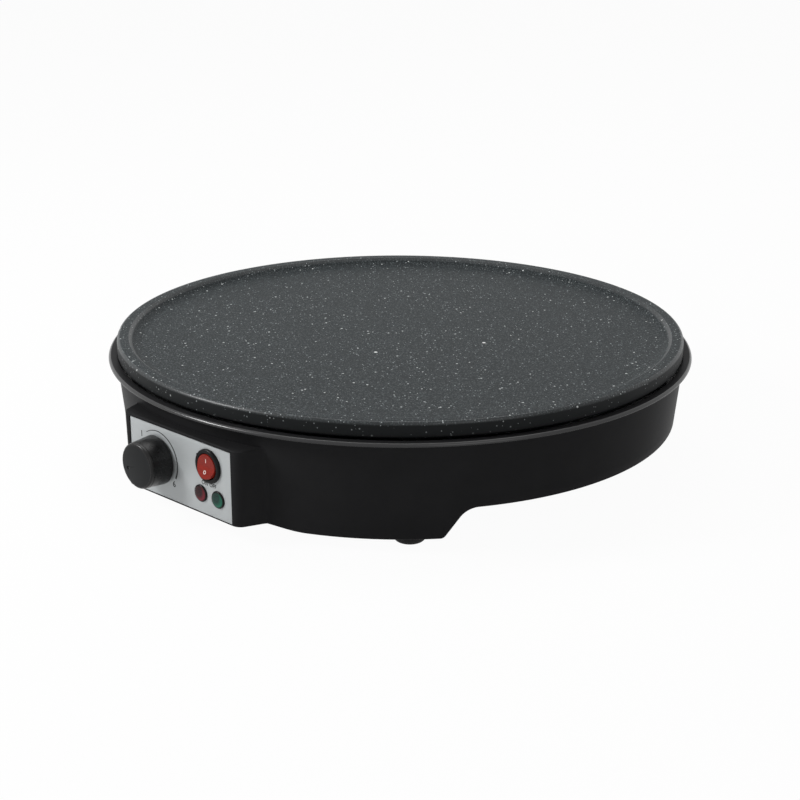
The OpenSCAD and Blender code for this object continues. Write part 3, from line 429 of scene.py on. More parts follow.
class TurningTree:
    """A tree that turns a profile round Z: the profile's X is the radius and its Z the height."""

    def __init__(self) -> None:
        """Builds the tree."""
        tree = new_tree("turned piece", {
            "Profile": "Geometry", "Steps round": "Int", "Profile points": "Int",
            "Finish": "Material"}, "Piece")
        given = add(tree, "NodeGroupInput").outputs
        columns = add(tree, "ShaderNodeMath", {"operation": "ADD"}, {0: given["Steps round"], 1: 1.0})
        grid = add(tree, "GeometryNodeMeshGrid", inputs={
            "Size X": 1.0, "Size Y": 1.0, "Vertices X": columns, "Vertices Y": given["Profile points"]})
        position = add(tree, "GeometryNodeInputPosition")
        spot = add(tree, "ShaderNodeSeparateXYZ", inputs={0: position}).outputs
        last = add(tree, "ShaderNodeMath", {"operation": "SUBTRACT"}, {0: given["Profile points"], 1: 1.0})
        along = add(tree, "ShaderNodeMath", {"operation": "ADD"}, {0: spot["Y"], 1: 0.5})
        row = add(tree, "ShaderNodeMath", {"operation": "MULTIPLY"}, {0: along, 1: last})
        number = add(tree, "ShaderNodeMath", {"operation": "ROUND"}, {0: row})
        drawn = add(tree, "GeometryNodeSampleIndex", {"data_type": "FLOAT_VECTOR", "domain": "POINT"}, {
            "Geometry": given["Profile"], "Value": position, "Index": number})
        profile = add(tree, "ShaderNodeSeparateXYZ", inputs={0: drawn}).outputs
        turn = add(tree, "ShaderNodeMath", {"operation": "MULTIPLY"}, {0: spot["X"], 1: 2 * math.pi})
        across, deep = (
            add(tree, "ShaderNodeMath", {"operation": "MULTIPLY"}, {
                0: profile["X"], 1: add(tree, "ShaderNodeMath", {"operation": wave}, {0: turn})})
            for wave in ("COSINE", "SINE"))
        place = add(tree, "ShaderNodeCombineXYZ", inputs={0: across, 1: deep, 2: profile["Z"]})
        bent = add(tree, "GeometryNodeSetPosition", inputs={"Geometry": grid, "Position": place})
        closed = add(tree, "GeometryNodeMergeByDistance", inputs={"Geometry": bent, "Distance": 1e-4})
        real = add(tree, "GeometryNodeRealizeInstances", inputs={"Geometry": closed})
        dressed = add(tree, "GeometryNodeSetMaterial", inputs={"Geometry": real, "Material": given["Finish"]})
        add(tree, "NodeGroupOutput", inputs={0: dressed})
        self.tree = tree

    def turned(self, name: str, profile: list[Point], finish: Material, place: Matrix, steps: int) -> Mesh:
        """Turns a closed profile.

        Args:
            name: the mesh's name.
            profile: (radius, height) points, which start and end on the axis or meet.
            finish: the material.
            place: the frame that it is drawn in.
            steps: number of steps round the axis.

        Returns:
            The closed mesh.
        """
        line = bpy.data.meshes.new(name)
        line.from_pydata([(r, 0, z) for r, z in profile], [(i, i + 1) for i in range(len(profile) - 1)], [])
        mesh = run_tree(name, line, self.tree, {
            "Steps round": steps, "Profile points": len(profile), "Finish": finish})
        mesh.transform(place)
        tidy(mesh)
        return mesh


class RepeatTree:
    """A tree that sets one shape on many points, turned about Z by each point's own angle."""

    def __init__(self) -> None:
        """Builds the tree."""
        tree = new_tree("repeated piece", {
            "Points": "Geometry", "Shape": "Object", "Random turn": "Float", "Finish": "Material"}, "Pieces")
        given = add(tree, "NodeGroupInput").outputs
        shape = add(tree, "GeometryNodeObjectInfo", {"transform_space": "ORIGINAL"}, {
            "Object": given["Shape"]}).outputs["Geometry"]
        kept = add(tree, "GeometryNodeInputNamedAttribute", {"data_type": "FLOAT"}, {"Name": "turn"})
        loose = add(tree, "FunctionNodeRandomValue", {"data_type": "FLOAT"}, {"Seed": 7}).outputs[1]
        extra = add(tree, "ShaderNodeMath", {"operation": "MULTIPLY"}, {0: loose, 1: given["Random turn"]})
        turn = add(tree, "ShaderNodeMath", {"operation": "ADD"}, {0: kept, 1: extra})
        about = add(tree, "ShaderNodeCombineXYZ", inputs={2: turn})
        placed = add(tree, "GeometryNodeInstanceOnPoints", inputs={
            "Points": given["Points"], "Instance": shape, "Rotation": about})
        real = add(tree, "GeometryNodeRealizeInstances", inputs={"Geometry": placed})
        dressed = add(tree, "GeometryNodeSetMaterial", inputs={"Geometry": real, "Material": given["Finish"]})
        add(tree, "NodeGroupOutput", inputs={0: dressed})
        self.tree = tree

    def repeated(self, name: str, shape: Mesh, places: list, turns: list[float], finish: Material,
                 random_turn: float = 0.0) -> Mesh:
        """Sets a shape on points.

        Args:
            name: the mesh's name.
            shape: the shape, round its own origin.
            places: the points.
            turns: each point's angle about Z, in degrees.
            finish: the material.
            random_turn: most extra turn of a piece, in radians.

        Returns:
            One mesh that holds every piece.
        """
        points = bpy.data.meshes.new(name)
        points.from_pydata([tuple(p) for p in places], [], [])
        angles = points.attributes.new("turn", "FLOAT", "POINT").data
        angles.foreach_set("value", [math.radians(t) for t in turns])
        holder = linked(name + "_shape", shape)
        mesh = run_tree(name, points, self.tree, {
            "Shape": holder, "Random turn": random_turn, "Finish": finish})
        bpy.data.objects.remove(holder)
        return mesh


# ---- What several pieces share ----


@dataclass(frozen=True)
class PanelLayout:
    """Where the controls sit on the panel, and the holes that they need in it."""

    face_y: float = -154.5
    half_width: float = 36.65
    low: float = 10.8
    high: float = 46.6
    knob: Point = (-16.4, 29.4)
    switch: Point = (21.2, 36.1)
    lamps: tuple[Point, Point] = ((15.1, 20.7), (27.3, 20.7))
    shaft_hole: float = 5.2
    switch_hole: float = 7.9
    lamp_hole: float = 3.55

    def place(self, spot: Point, out: float = 0.0) -> Matrix:
        """A frame at a spot of the panel's face: its Z points out and its Y is up."""
        return Matrix.Translation((spot[0], self.face_y - out, spot[1])) @ UPRIGHT

    def outline(self, grow: float) -> list[Point]:
        """The panel's outline, grown by a clearance."""
        return rectangle(self.half_width + grow, self.low - grow, self.high + grow)

    def holes(self, depth: float, sides: int) -> list[Mesh]:
        """Cutters for the holes of the shaft, the switch and the lamps.

        Args:
            depth: how far they go behind the panel's face.
            sides: number of sides of each.

        Returns:
            The cutters.
        """
        sizes = [(self.knob, self.shaft_hole), (self.switch, self.switch_hole)]
        sizes += [(lamp, self.lamp_hole) for lamp in self.lamps]
        return [cylinder(radius, -depth, 3, self.place(spot), sides) for spot, radius in sizes]


PANEL = PanelLayout()
RIM_CREST = 66.6
LIP_UNDER = 55.9


# ---- Finishes ----


@dataclass(frozen=True)
class Finish:
    """A plain moulded, turned or rolled finish.

    Its colour drifts a little over the surface, its roughness varies, and a fine grain lifts it.
    """

    name: str
    colour: str
    roughness: float
    metallic: float = 0.0
    ior: float = 1.5
    level: float = 0.5
    grain_mm: float = 0.4
    grain_lift_mm: float = 0.004
    grain_band: Point = (0.25, 0.75)
    swing: float = 0.05
    drift: float = 0.08
    drift_mm: float = 25.0
    cloud_band: Point = (0.3, 0.7)
    stretch: Place = (1.0, 1.0, 1.0)
    clear: float = 0.0

    def begin(self) -> tuple[Material, Tree, Node, Socket]:
        """Starts the material.

        Returns:
            The material, its tree, its shader and the object coordinates.
        """
        material = bpy.data.materials.new(self.name)
        tree = emptied(material)
        shader = add(tree, "ShaderNodeBsdfPrincipled", inputs={
            "Base Color": to_linear(self.colour), "Roughness": self.roughness, "Metallic": self.metallic,
            "Specular IOR Level": self.level, "Transmission Weight": self.clear})
        if not self.metallic:
            feed(shader, {"IOR": self.ior})
        add(tree, "ShaderNodeOutputMaterial", inputs={"Surface": shader})
        where = add(tree, "ShaderNodeMapping", inputs={
            "Vector": add(tree, "ShaderNodeTexCoord").outputs["Object"], "Scale": self.stretch})
        return material, tree, shader, where.outputs[0]

    def shaded(self, tree: Tree, amount: Node | Socket, low: float, high: float) -> Socket:
        """Darkens and lightens the finish's colour.

        Args:
            tree: the material's tree.
            amount: 0 to 1 over the surface.
            low: brightness factor where the amount is low.
            high: brightness factor where it is high.

        Returns:
            The changed colour.
        """
        factor = add(tree, "ShaderNodeMapRange", inputs=fade(amount, self.cloud_band, low, high))
        grey = add(tree, "ShaderNodeCombineXYZ", inputs={0: factor, 1: factor, 2: factor})
        return add(tree, "ShaderNodeMix", {"data_type": "RGBA", "blend_type": "MULTIPLY"}, {
            0: 1.0, 6: to_linear(self.colour), 7: grey}).outputs[2]

    def roughened(self, tree: Tree, shader: Node, where: Socket, grain: dict, lift_mm: float) -> Node:
        """Gives the surface a fine relief that follows a noise.

        Args:
            tree: the material's tree.
            shader: its shader.
            where: the coordinates.
            grain: the noise's scale and detail, as pattern() gives them.
            lift_mm: height of the relief.

        Returns:
            The noise.
        """
        noise = add(tree, "ShaderNodeTexNoise", inputs={"Vector": where} | grain)
        bump = add(tree, "ShaderNodeBump", inputs={
            "Height": noise, "Distance": lift_mm * MM, "Strength": 1.0})
        feed(shader, {"Normal": bump})
        return noise

    def bent_edges(self, tree: Tree, span_mm: Point, facing: Point) -> Node:
        """Masks the edges that bend down from a flat top.

        Args:
            tree: the material's tree.
            span_mm: the heights between which the mask fades in.
            facing: how far up a surface faces where the mask starts, and where it is full.

        Returns:
            1 on the edges and 0 elsewhere.
        """
        space = add(tree, "ShaderNodeTexCoord").outputs
        height = add(tree, "ShaderNodeSeparateXYZ", inputs={0: space["Object"]}).outputs[2]
        upward = add(tree, "ShaderNodeSeparateXYZ", inputs={0: space["Normal"]}).outputs[2]
        high, bent = (
            add(tree, "ShaderNodeMapRange", inputs=fade(amount, band))
            for amount, band in ((height, (span_mm[0] * MM, span_mm[1] * MM)), (upward, facing)))
        return add(tree, "ShaderNodeMath", {"operation": "MULTIPLY"}, {0: high, 1: bent})

    def dressed(self) -> tuple[Material, Tree, Node]:
        """Builds the material.

        Returns:
            The material, its tree and its shader.
        """
        material, tree, shader, where = self.begin()
        cloud = add(tree, "ShaderNodeTexNoise", inputs={"Vector": where} | pattern(self.drift_mm, 3.0))
        grain = self.roughened(tree, shader, where, pattern(self.grain_mm, 2.0), self.grain_lift_mm)
        smoothest, roughest = max(0.02, self.roughness - self.swing), self.roughness + self.swing
        feed(shader, {
            "Base Color": self.shaded(tree, cloud, 1 - self.drift, 1 + self.drift),
            "Roughness": add(tree, "ShaderNodeMapRange", inputs=fade(
                grain, self.grain_band, smoothest, roughest))})
        return material, tree, shader

    def make(self) -> Material:
        """Builds the material."""
        return self.dressed()[0]


@dataclass(frozen=True)
class SpeckledCoating(Finish):
    """Sprayed non-stick coating: a dark ground with a dense grey speckle and sparse white flecks.

    Painted shade: the speckle and the flecks fade out as a surface turns from facing up to facing sideways
    and down, so the plate's outer side and underside are plain and dark.
    Each fleck size has a cell in mm, a largest radius in mm, its share of the cells and its colour.
    """

    speckle: str = "#5c6365"
    # Colour of the painted shade on the plate's outer side and underside.
    side_shade: str = "#141617"
    ground_mm: float = 9.0
    speckle_mm: float = 0.75
    warp_mm: float = 1.6
    warp: Place = (0.0009, -0.0007, 0.0005)
    fleck_sizes: tuple[tuple[float, float, float, str], ...] = (
        (1.5, 0.42, 0.5, "#a4aaab"), (3.4, 0.62, 0.5, "#cfd3d2"), (15.0, 1.0, 0.4, "#f0f1f0"))
    fleck_edge: float = 0.12
    speckle_band: Point = (0.52, 0.72)
    shade_facing: Point = (0.05, 0.8)
    fleck_shade_facing: Point = (-0.4, 0.5)
    worn_mm: Point = (RIM_CREST - 2.0, RIM_CREST - 1.2)
    worn_facing: Point = (0.98, 0.9)
    worn_level: float = 0.35
    worn_roughness: float = 0.36
    stone_mm: float = 0.9
    stone_lift_mm: float = 0.02

    def flecks(self, tree: Tree, where: Socket, cell_mm: float, radius_mm: float, share: float) -> Node:
        """Scattered spots, one at most in each cell.

        Args:
            tree: the material's tree.
            where: the coordinates.
            cell_mm: size of a cell.
            radius_mm: radius of the largest spot.
            share: share of the cells that hold a spot.

        Returns:
            1 inside a spot and 0 outside.
        """
        cells = add(tree, "ShaderNodeTexVoronoi", inputs={
            "Vector": where, "Scale": 1 / (cell_mm * MM), "Randomness": 1.0})
        dice = add(tree, "ShaderNodeSeparateColor", inputs={0: cells.outputs["Color"]}).outputs
        largest = radius_mm / cell_mm
        size = add(tree, "ShaderNodeMapRange", inputs=fade(dice[0], (1 - share, 1.0), 0.0, largest))
        gap = add(tree, "ShaderNodeMath", {"operation": "SUBTRACT"}, {0: size, 1: cells.outputs["Distance"]})
        return add(tree, "ShaderNodeMapRange", inputs=fade(gap, (0.0, self.fleck_edge * largest)))

    def wear(self, tree: Tree, shader: Node) -> None:
        """Smooths the coating on the bent edges of the rim's crest.

        Args:
            tree: the material's tree.
            shader: its shader.
        """
        worn = self.bent_edges(tree, self.worn_mm, self.worn_facing)
        for socket, plain, smooth in (("Specular IOR Level", self.level, self.worn_level),
                                      ("Roughness", self.roughness, self.worn_roughness)):
            feed(shader, {socket: add(tree, "ShaderNodeMapRange", inputs=fade(
                worn, (0.0, 1.0), plain, smooth))})

    def make(self) -> Material:
        """Builds the material."""
        material, tree, shader, where = self.begin()
        warp, cloud, grain = (
            add(tree, "ShaderNodeTexNoise", inputs={"Vector": where} | pattern(size_mm, detail))
            for size_mm, detail in ((self.warp_mm, 2.0), (self.ground_mm, 4.0), (self.speckle_mm, 4.0)))
        sway = add(tree, "ShaderNodeCombineXYZ", inputs={0: warp, 1: warp, 2: warp})
        wavy = add(tree, "ShaderNodeVectorMath", {"operation": "MULTIPLY_ADD"}, {
            0: sway, 1: self.warp, 2: where}).outputs[0]
        ground = self.shaded(tree, cloud, 0.9, 1.1)
        # Painted shade: a mask on how far each surface faces up darkens the sides and the underside and takes
        # the flecks off them.
        upward = add(tree, "ShaderNodeSeparateXYZ", inputs={
            0: add(tree, "ShaderNodeTexCoord").outputs["Normal"]}).outputs[2]
        speckled, unshaded, flecks_unshaded = (
            add(tree, "ShaderNodeMapRange", inputs=fade(amount, band))
            for amount, band in ((grain, self.speckle_band), (upward, self.shade_facing),
                                 (upward, self.fleck_shade_facing)))
        spotted = add(tree, "ShaderNodeMix", {"data_type": "RGBA"}, {
            0: speckled, 6: ground, 7: to_linear(self.speckle)}).outputs[2]
        colour = add(tree, "ShaderNodeMix", {"data_type": "RGBA"}, {
            0: unshaded, 6: to_linear(self.side_shade), 7: spotted}).outputs[2]
        for cell_mm, radius_mm, share, tint in self.fleck_sizes:
            spots = add(tree, "ShaderNodeMath", {"operation": "MULTIPLY"}, {
                0: self.flecks(tree, wavy, cell_mm, radius_mm, share), 1: flecks_unshaded})
            colour = add(tree, "ShaderNodeMix", {"data_type": "RGBA"}, {
                0: spots, 6: colour, 7: to_linear(tint)}).outputs[2]
        feed(shader, {"Base Color": colour})
        self.wear(tree, shader)
        self.roughened(tree, shader, where, pattern(self.stone_mm, 3.0), self.stone_lift_mm)
        return material


@dataclass(frozen=True)
class MouldedShell(Finish):
    """Satin moulding whose lip, above a height, comes out of a polished part of the mould."""

    lip_mm: Point = (LIP_UNDER - 0.3, LIP_UNDER + 0.3)
    lip_facing: Point = (0.99, 0.93)
    lip_level: float = 0.4
    lip_gloss: float = 0.2

    def make(self) -> Material:
        """Builds the material."""
        material, tree, shader = self.dressed()
        polish = self.bent_edges(tree, self.lip_mm, self.lip_facing)
        satin = shader.inputs["Roughness"].links[0].from_socket
        feed(shader, {
            "Specular IOR Level": add(tree, "ShaderNodeMapRange", inputs=fade(
                polish, (0.0, 1.0), self.level, self.lip_level)),
            "Roughness": add(tree, "ShaderNodeMath", {"operation": "MULTIPLY_ADD"}, {
                0: polish, 1: -self.lip_gloss, 2: satin})})
        return material


@dataclass(frozen=True)
class LensPlastic(Finish):
    """Dyed clear plastic with moulded ribs behind its face, which break the light up."""

    rib_mm: float = 0.9
    contrast: float = 0.5
    haze_mm: float = 1.5
    haze_lift_mm: float = 0.006

    def dressed(self) -> tuple[Material, Tree, Node]:
        """Builds the material.

        Returns:
            The material, its tree and its shader.
        """
        material, tree, shader, where = self.begin()
        ribs = add(tree, "ShaderNodeTexVoronoi", inputs={
            "Vector": where, "Scale": 1 / (self.rib_mm * MM), "Randomness": 0.35}).outputs["Distance"]
        feed(shader, {"Base Color": self.shaded(tree, ribs, 1 - self.contrast, 1 + self.contrast)})
        self.roughened(tree, shader, where, pattern(self.haze_mm, 3.0), self.haze_lift_mm)
        return material, tree, shader


@dataclass(frozen=True)
class LampLens(LensPlastic):
    """A lamp's dyed lens: dark in its middle, with painted shade at its rim and a painted highlight, a
    crescent low on its right.
    """

    # The first tint below is the colour of the painted highlight, a crescent low on the lens's right; the rim
    # tint is painted shade round its rim.
    shine: str = "#8a2431"
    rim: str = "#0c0a0a"
    centre: Point = (0.0, 0.0)
    shadow_shift: Point = (-1.3, 1.0)
    shadow_mm: Point = (2.6, 4.4)
    rim_mm: Point = (3.3, 3.9)

    def apart(self, tree: Tree, centre: Point, span_mm: Point) -> Node:
        """Masks what is far from a point of the panel.

        Args:
            tree: the material's tree.
            centre: the point, in millimetres across and up.
            span_mm: the distances between which the mask fades in.

        Returns:
            The mask.
        """
        where = add(tree, "ShaderNodeTexCoord").outputs["Object"]
        flat = add(tree, "ShaderNodeVectorMath", {"operation": "MULTIPLY"}, {0: where, 1: (1, 0, 1)})
        gap = add(tree, "ShaderNodeVectorMath", {"operation": "DISTANCE"}, {
            0: flat, 1: (centre[0] * MM, 0, centre[1] * MM)})
        return add(tree, "ShaderNodeMapRange", inputs=fade(
            gap.outputs["Value"], (span_mm[0] * MM, span_mm[1] * MM)))

    def make(self) -> Material:
        """Builds the material."""
        material, tree, shader = self.dressed()
        # Paints the highlight away from a point up and to the left of the middle, so it lies as a crescent
        # low on the right, then paints shade round the rim.
        shadow = (self.centre[0] + self.shadow_shift[0], self.centre[1] + self.shadow_shift[1])
        colour = shader.inputs["Base Color"].links[0].from_socket
        for middle, span_mm, tint in ((shadow, self.shadow_mm, self.shine),
                                      (self.centre, self.rim_mm, self.rim)):
            colour = add(tree, "ShaderNodeMix", {"data_type": "RGBA"}, {
                0: self.apart(tree, middle, span_mm), 6: colour, 7: to_linear(tint)}).outputs[2]
        feed(shader, {"Base Color": colour})
        return material


class Finishes:
    """Every finish of the object, by the record's slot or by its own use."""

    def __init__(self) -> None:
        """Builds the materials."""
        # Sprayed PTFE coating on cast aluminium: matt and stony, with light flecks, and painted shade on its
        # outer side and underside.
        self.coating = SpeckledCoating("speckled PTFE coating", "#1a1f21", 0.55, level=0.12).make()
        # Moulded ABS with a fine satin grain: deep black, with a glossy line round its lip.
        self.shell = MouldedShell(
            "black ABS moulding", "#252526", 0.42, level=0.02, grain_mm=0.35, grain_lift_mm=0.003).make()
        # Polypropylene floor, spark-eroded: duller and greyer than the shell.
        self.floor = Finish(
            "black polypropylene", "#121213", 0.55, level=0.3, grain_mm=0.6, grain_lift_mm=0.02).make()
        # Silver painted sheet: an even pale grey with a soft sheen and very fine flake.
        self.silver = Finish("silver painted sheet", "#b0b4b5", 0.42, metallic=0.25, grain_mm=0.25,
                             grain_lift_mm=0.001, drift=0.03).make()
        # Gloss ABS of the knob's side: near black, with a clear highlight.
        self.knob = Finish(
            "gloss black ABS", "#0a0a0b", 0.3, level=0.28, grain_mm=0.8, grain_lift_mm=0.001).make()
        # Satin face of the knob, etched in the mould: a soft dark grey.
        self.knob_face = Finish(
            "satin black ABS", "#1e1f20", 0.5, level=0.12, grain_mm=0.3, grain_lift_mm=0.006).make()
        # Polyamide bezel of the switch: black and smooth, with a thin highlight.
        self.bezel = Finish(
            "gloss black polyamide", "#0d0e0f", 0.3, level=0.12, grain_mm=0.6, grain_lift_mm=0.001).make()
        # Dyed polycarbonate: a deep red button, and lamp lenses that are dark until they are lit, each lens
        # with a painted highlight and painted shade.
        self.red_button = LensPlastic(
            "red polycarbonate", "#831b0c", 0.3, level=0.2, rib_mm=1.1, contrast=0.12).make()
        self.red_lens, self.green_lens = (
            LampLens(name, colour, 0.25, level=0.15, rib_mm=0.8, shine=shine, centre=centre).make()
            for name, colour, shine, centre in (
                ("dark red polycarbonate", "#2a1113", "#6e1d28", PANEL.lamps[0]),
                ("dark green polycarbonate", "#12302a", "#1d614d", PANEL.lamps[1])))
        # Screen and pad ink: flat and matt.
        self.black_ink = Finish("black screen ink", "#1d1f20", 0.6, grain_mm=0.3, grain_lift_mm=0.001).make()
        self.white_ink = Finish("white pad ink", "#e6d9d4", 0.5, grain_mm=0.3, grain_lift_mm=0.001).make()
        # Moulded nitrile rubber: dull black with hardly any highlight.
        self.rubber = Finish(
            "black nitrile rubber", "#111111", 0.75, level=0.3, grain_mm=0.8, grain_lift_mm=0.02).make()
        # Zinc plated steel: pale, a little blue and slightly cloudy.
        self.steel = self.metal("zinc plated steel", "#a9adb2", 0.34, 4)
        # Rolled brass of the terminals: warm yellow. Drawn copper of the capillary: pink and soft.
        self.brass = self.metal("rolled brass", "#b9924a", 0.32, 5)
        self.copper = self.metal("drawn copper", "#b0714f", 0.35, 6)
        # Aluminium sheet straight from the mill: fine lines along the rolling direction.
        self.shield = Finish("mill aluminium sheet", "#b6b9bb", 0.38, metallic=1.0, grain_mm=0.6,
                             grain_lift_mm=0.004, stretch=(1, 0.04, 1)).make()
        # Steel sheath of the element, tinted by heat: brown and blotchy.
        self.sheath = Finish("heat-tinted steel sheath", "#4a433d", 0.45, metallic=0.9, grain_mm=0.7,
                             grain_lift_mm=0.006, drift=0.25, drift_mm=12).make()
        # Unglazed steatite beads: chalky white.
        self.ceramic = Finish("unglazed steatite", "#dcd6c8", 0.6, grain_mm=0.3, grain_lift_mm=0.008).make()
        # Glass-filled resin of the spacers: matt black.
        self.spacer = Finish("black glass-filled resin", "#101010", 0.6, level=0.3, grain_mm=0.4).make()
        # Urea moulding of the thermostat and the terminal block: cream, with a low sheen.
        self.resin = Finish("cream urea moulding", "#d3cbb6", 0.45, grain_mm=0.5, grain_lift_mm=0.003).make()
        # Drawn glass of the neon lamps: clear and smooth.
        self.neon = Finish("clear lamp glass", "#f2efe9", 0.05, clear=0.9, grain_lift_mm=0.0005).make()
        # Extruded insulation: plain coloured PVC for the mains, white silicone for the lamps' wires.
        self.brown, self.blue, self.green, self.white = (
            Finish(name + " insulation", colour, roughness, grain_mm=0.5).make()
            for name, colour, roughness in (
                ("brown PVC", "#5a3620", 0.45), ("blue PVC", "#2c5b9c", 0.45),
                ("green PVC", "#6f9a32", 0.45), ("white silicone", "#dcd8cd", 0.5)))

    def metal(self, name: str, colour: str, roughness: float, drift_mm: float) -> Material:
        """A plain bright metal whose tint drifts over drift_mm."""
        return Finish(name, colour, roughness, metallic=1.0, grain_mm=0.5, grain_lift_mm=0.002,
                      drift_mm=drift_mm).make()

    def by_slot(self) -> dict[str, Material]:
        """The finish of each of the record's material slots."""
        return {
            "plate_coating": self.coating, "shell_plastic": self.shell, "panel_silver": self.silver,
            "knob_plastic": self.knob, "bezel_plastic": self.bezel, "rocker_red": self.red_button,
            "lens_red": self.red_lens, "lens_green": self.green_lens, "foot_rubber": self.rubber,
            "steel": self.steel, "brass": self.brass, "copper_tube": self.copper,
            "shield_aluminium": self.shield, "element_sheath": self.sheath, "ceramic": self.ceramic,
            "spacer_resin": self.spacer, "control_resin": self.resin, "neon_glass": self.neon,
            "wire_brown": self.brown, "wire_blue": self.blue, "wire_green": self.green,
            "wire_white": self.white,
        }

    def dress_nodes(self) -> None:
        """Gives every node that stays its finish, by its slot in the record."""
        finishes = self.by_slot()
        for entry in frame["record"]["subparts"]:
            materials = frame["nodes"][entry["node"]].data.materials
            materials.clear()
            materials.append(finishes[entry["material_slot"]])
        frame["nodes"]["bottom_cover"].data.materials[0] = self.floor


@dataclass
class Workshop:
    """What every sub-assembly needs: the finishes and the two trees."""

    finishes: Finishes = field(default_factory=Finishes)
    turning: TurningTree = field(default_factory=TurningTree)
    repeating: RepeatTree = field(default_factory=RepeatTree)


# ---- Sub-assemblies ----


@dataclass
class GriddlePlate:
    """The round cast plate with its low rim, and the bosses under it."""

    shop: Workshop
    radius: float = 150.0
    under: float = 58.5
    face: float = 62.5
    face_radius: float = 136.08
    crest: float = RIM_CREST
    crest_width: float = 5.8
    hollow: float = 8.5
    rounding: float = 2.2
    small_round: float = 1.2
    boss_low: float = 55.1
    boss_radius: float = 5.5
    boss_circle: float = 130.4
    earth_boss_y: float = 45.0

    def profile(self) -> list[Point]:
        """The plate's section, from the axis underneath to the axis on top."""
        r, crest, big, small = self.radius, self.crest, self.rounding, self.small_round
        step = 13.0
        return [(0, self.under), (60, self.under), (r - 8, self.under), (r - small - 0.1, self.under),
                *arc((r - small, self.under + small), small, -90, 0, 8),
                (r, self.under + 3), *arc((r - big, crest - big), big, 0, 90, 16),
                *arc((r - self.crest_width, crest - small), small, 90, 135, 8),
                *arc((self.face_radius, self.face + self.hollow), self.hollow, 315, 270, 14),
                *[(self.face_radius - step * i, self.face) for i in range(1, 10)], (0, self.face)]

    def build(self) -> None:
        """Builds the plate."""
        turned = self.shop.turning.turned
        finish = self.shop.finishes.coating
        plate = turned("plate", self.profile(), finish, Matrix(), 300)
        root, edge = self.under + 0.5, 0.4
        boss = [(0, self.boss_low), *arc((self.boss_radius - edge, self.boss_low + edge), edge, -90, 0, 4),
                (self.boss_radius, root), (0, root)]
        spots = [around(azimuth, self.boss_circle, 0) for azimuth in (45, 135, 225, 315)]
        spots.append(Vector((0, self.earth_boss_y, 0)))
        bosses = [turned("boss", boss, finish, Matrix.Translation(spot), 32) for spot in spots]
        finished("griddle_plate_coated", joined("plate", [plate, *bosses]), finish, Body.BASE,
                 ("griddle_plate",), 40)


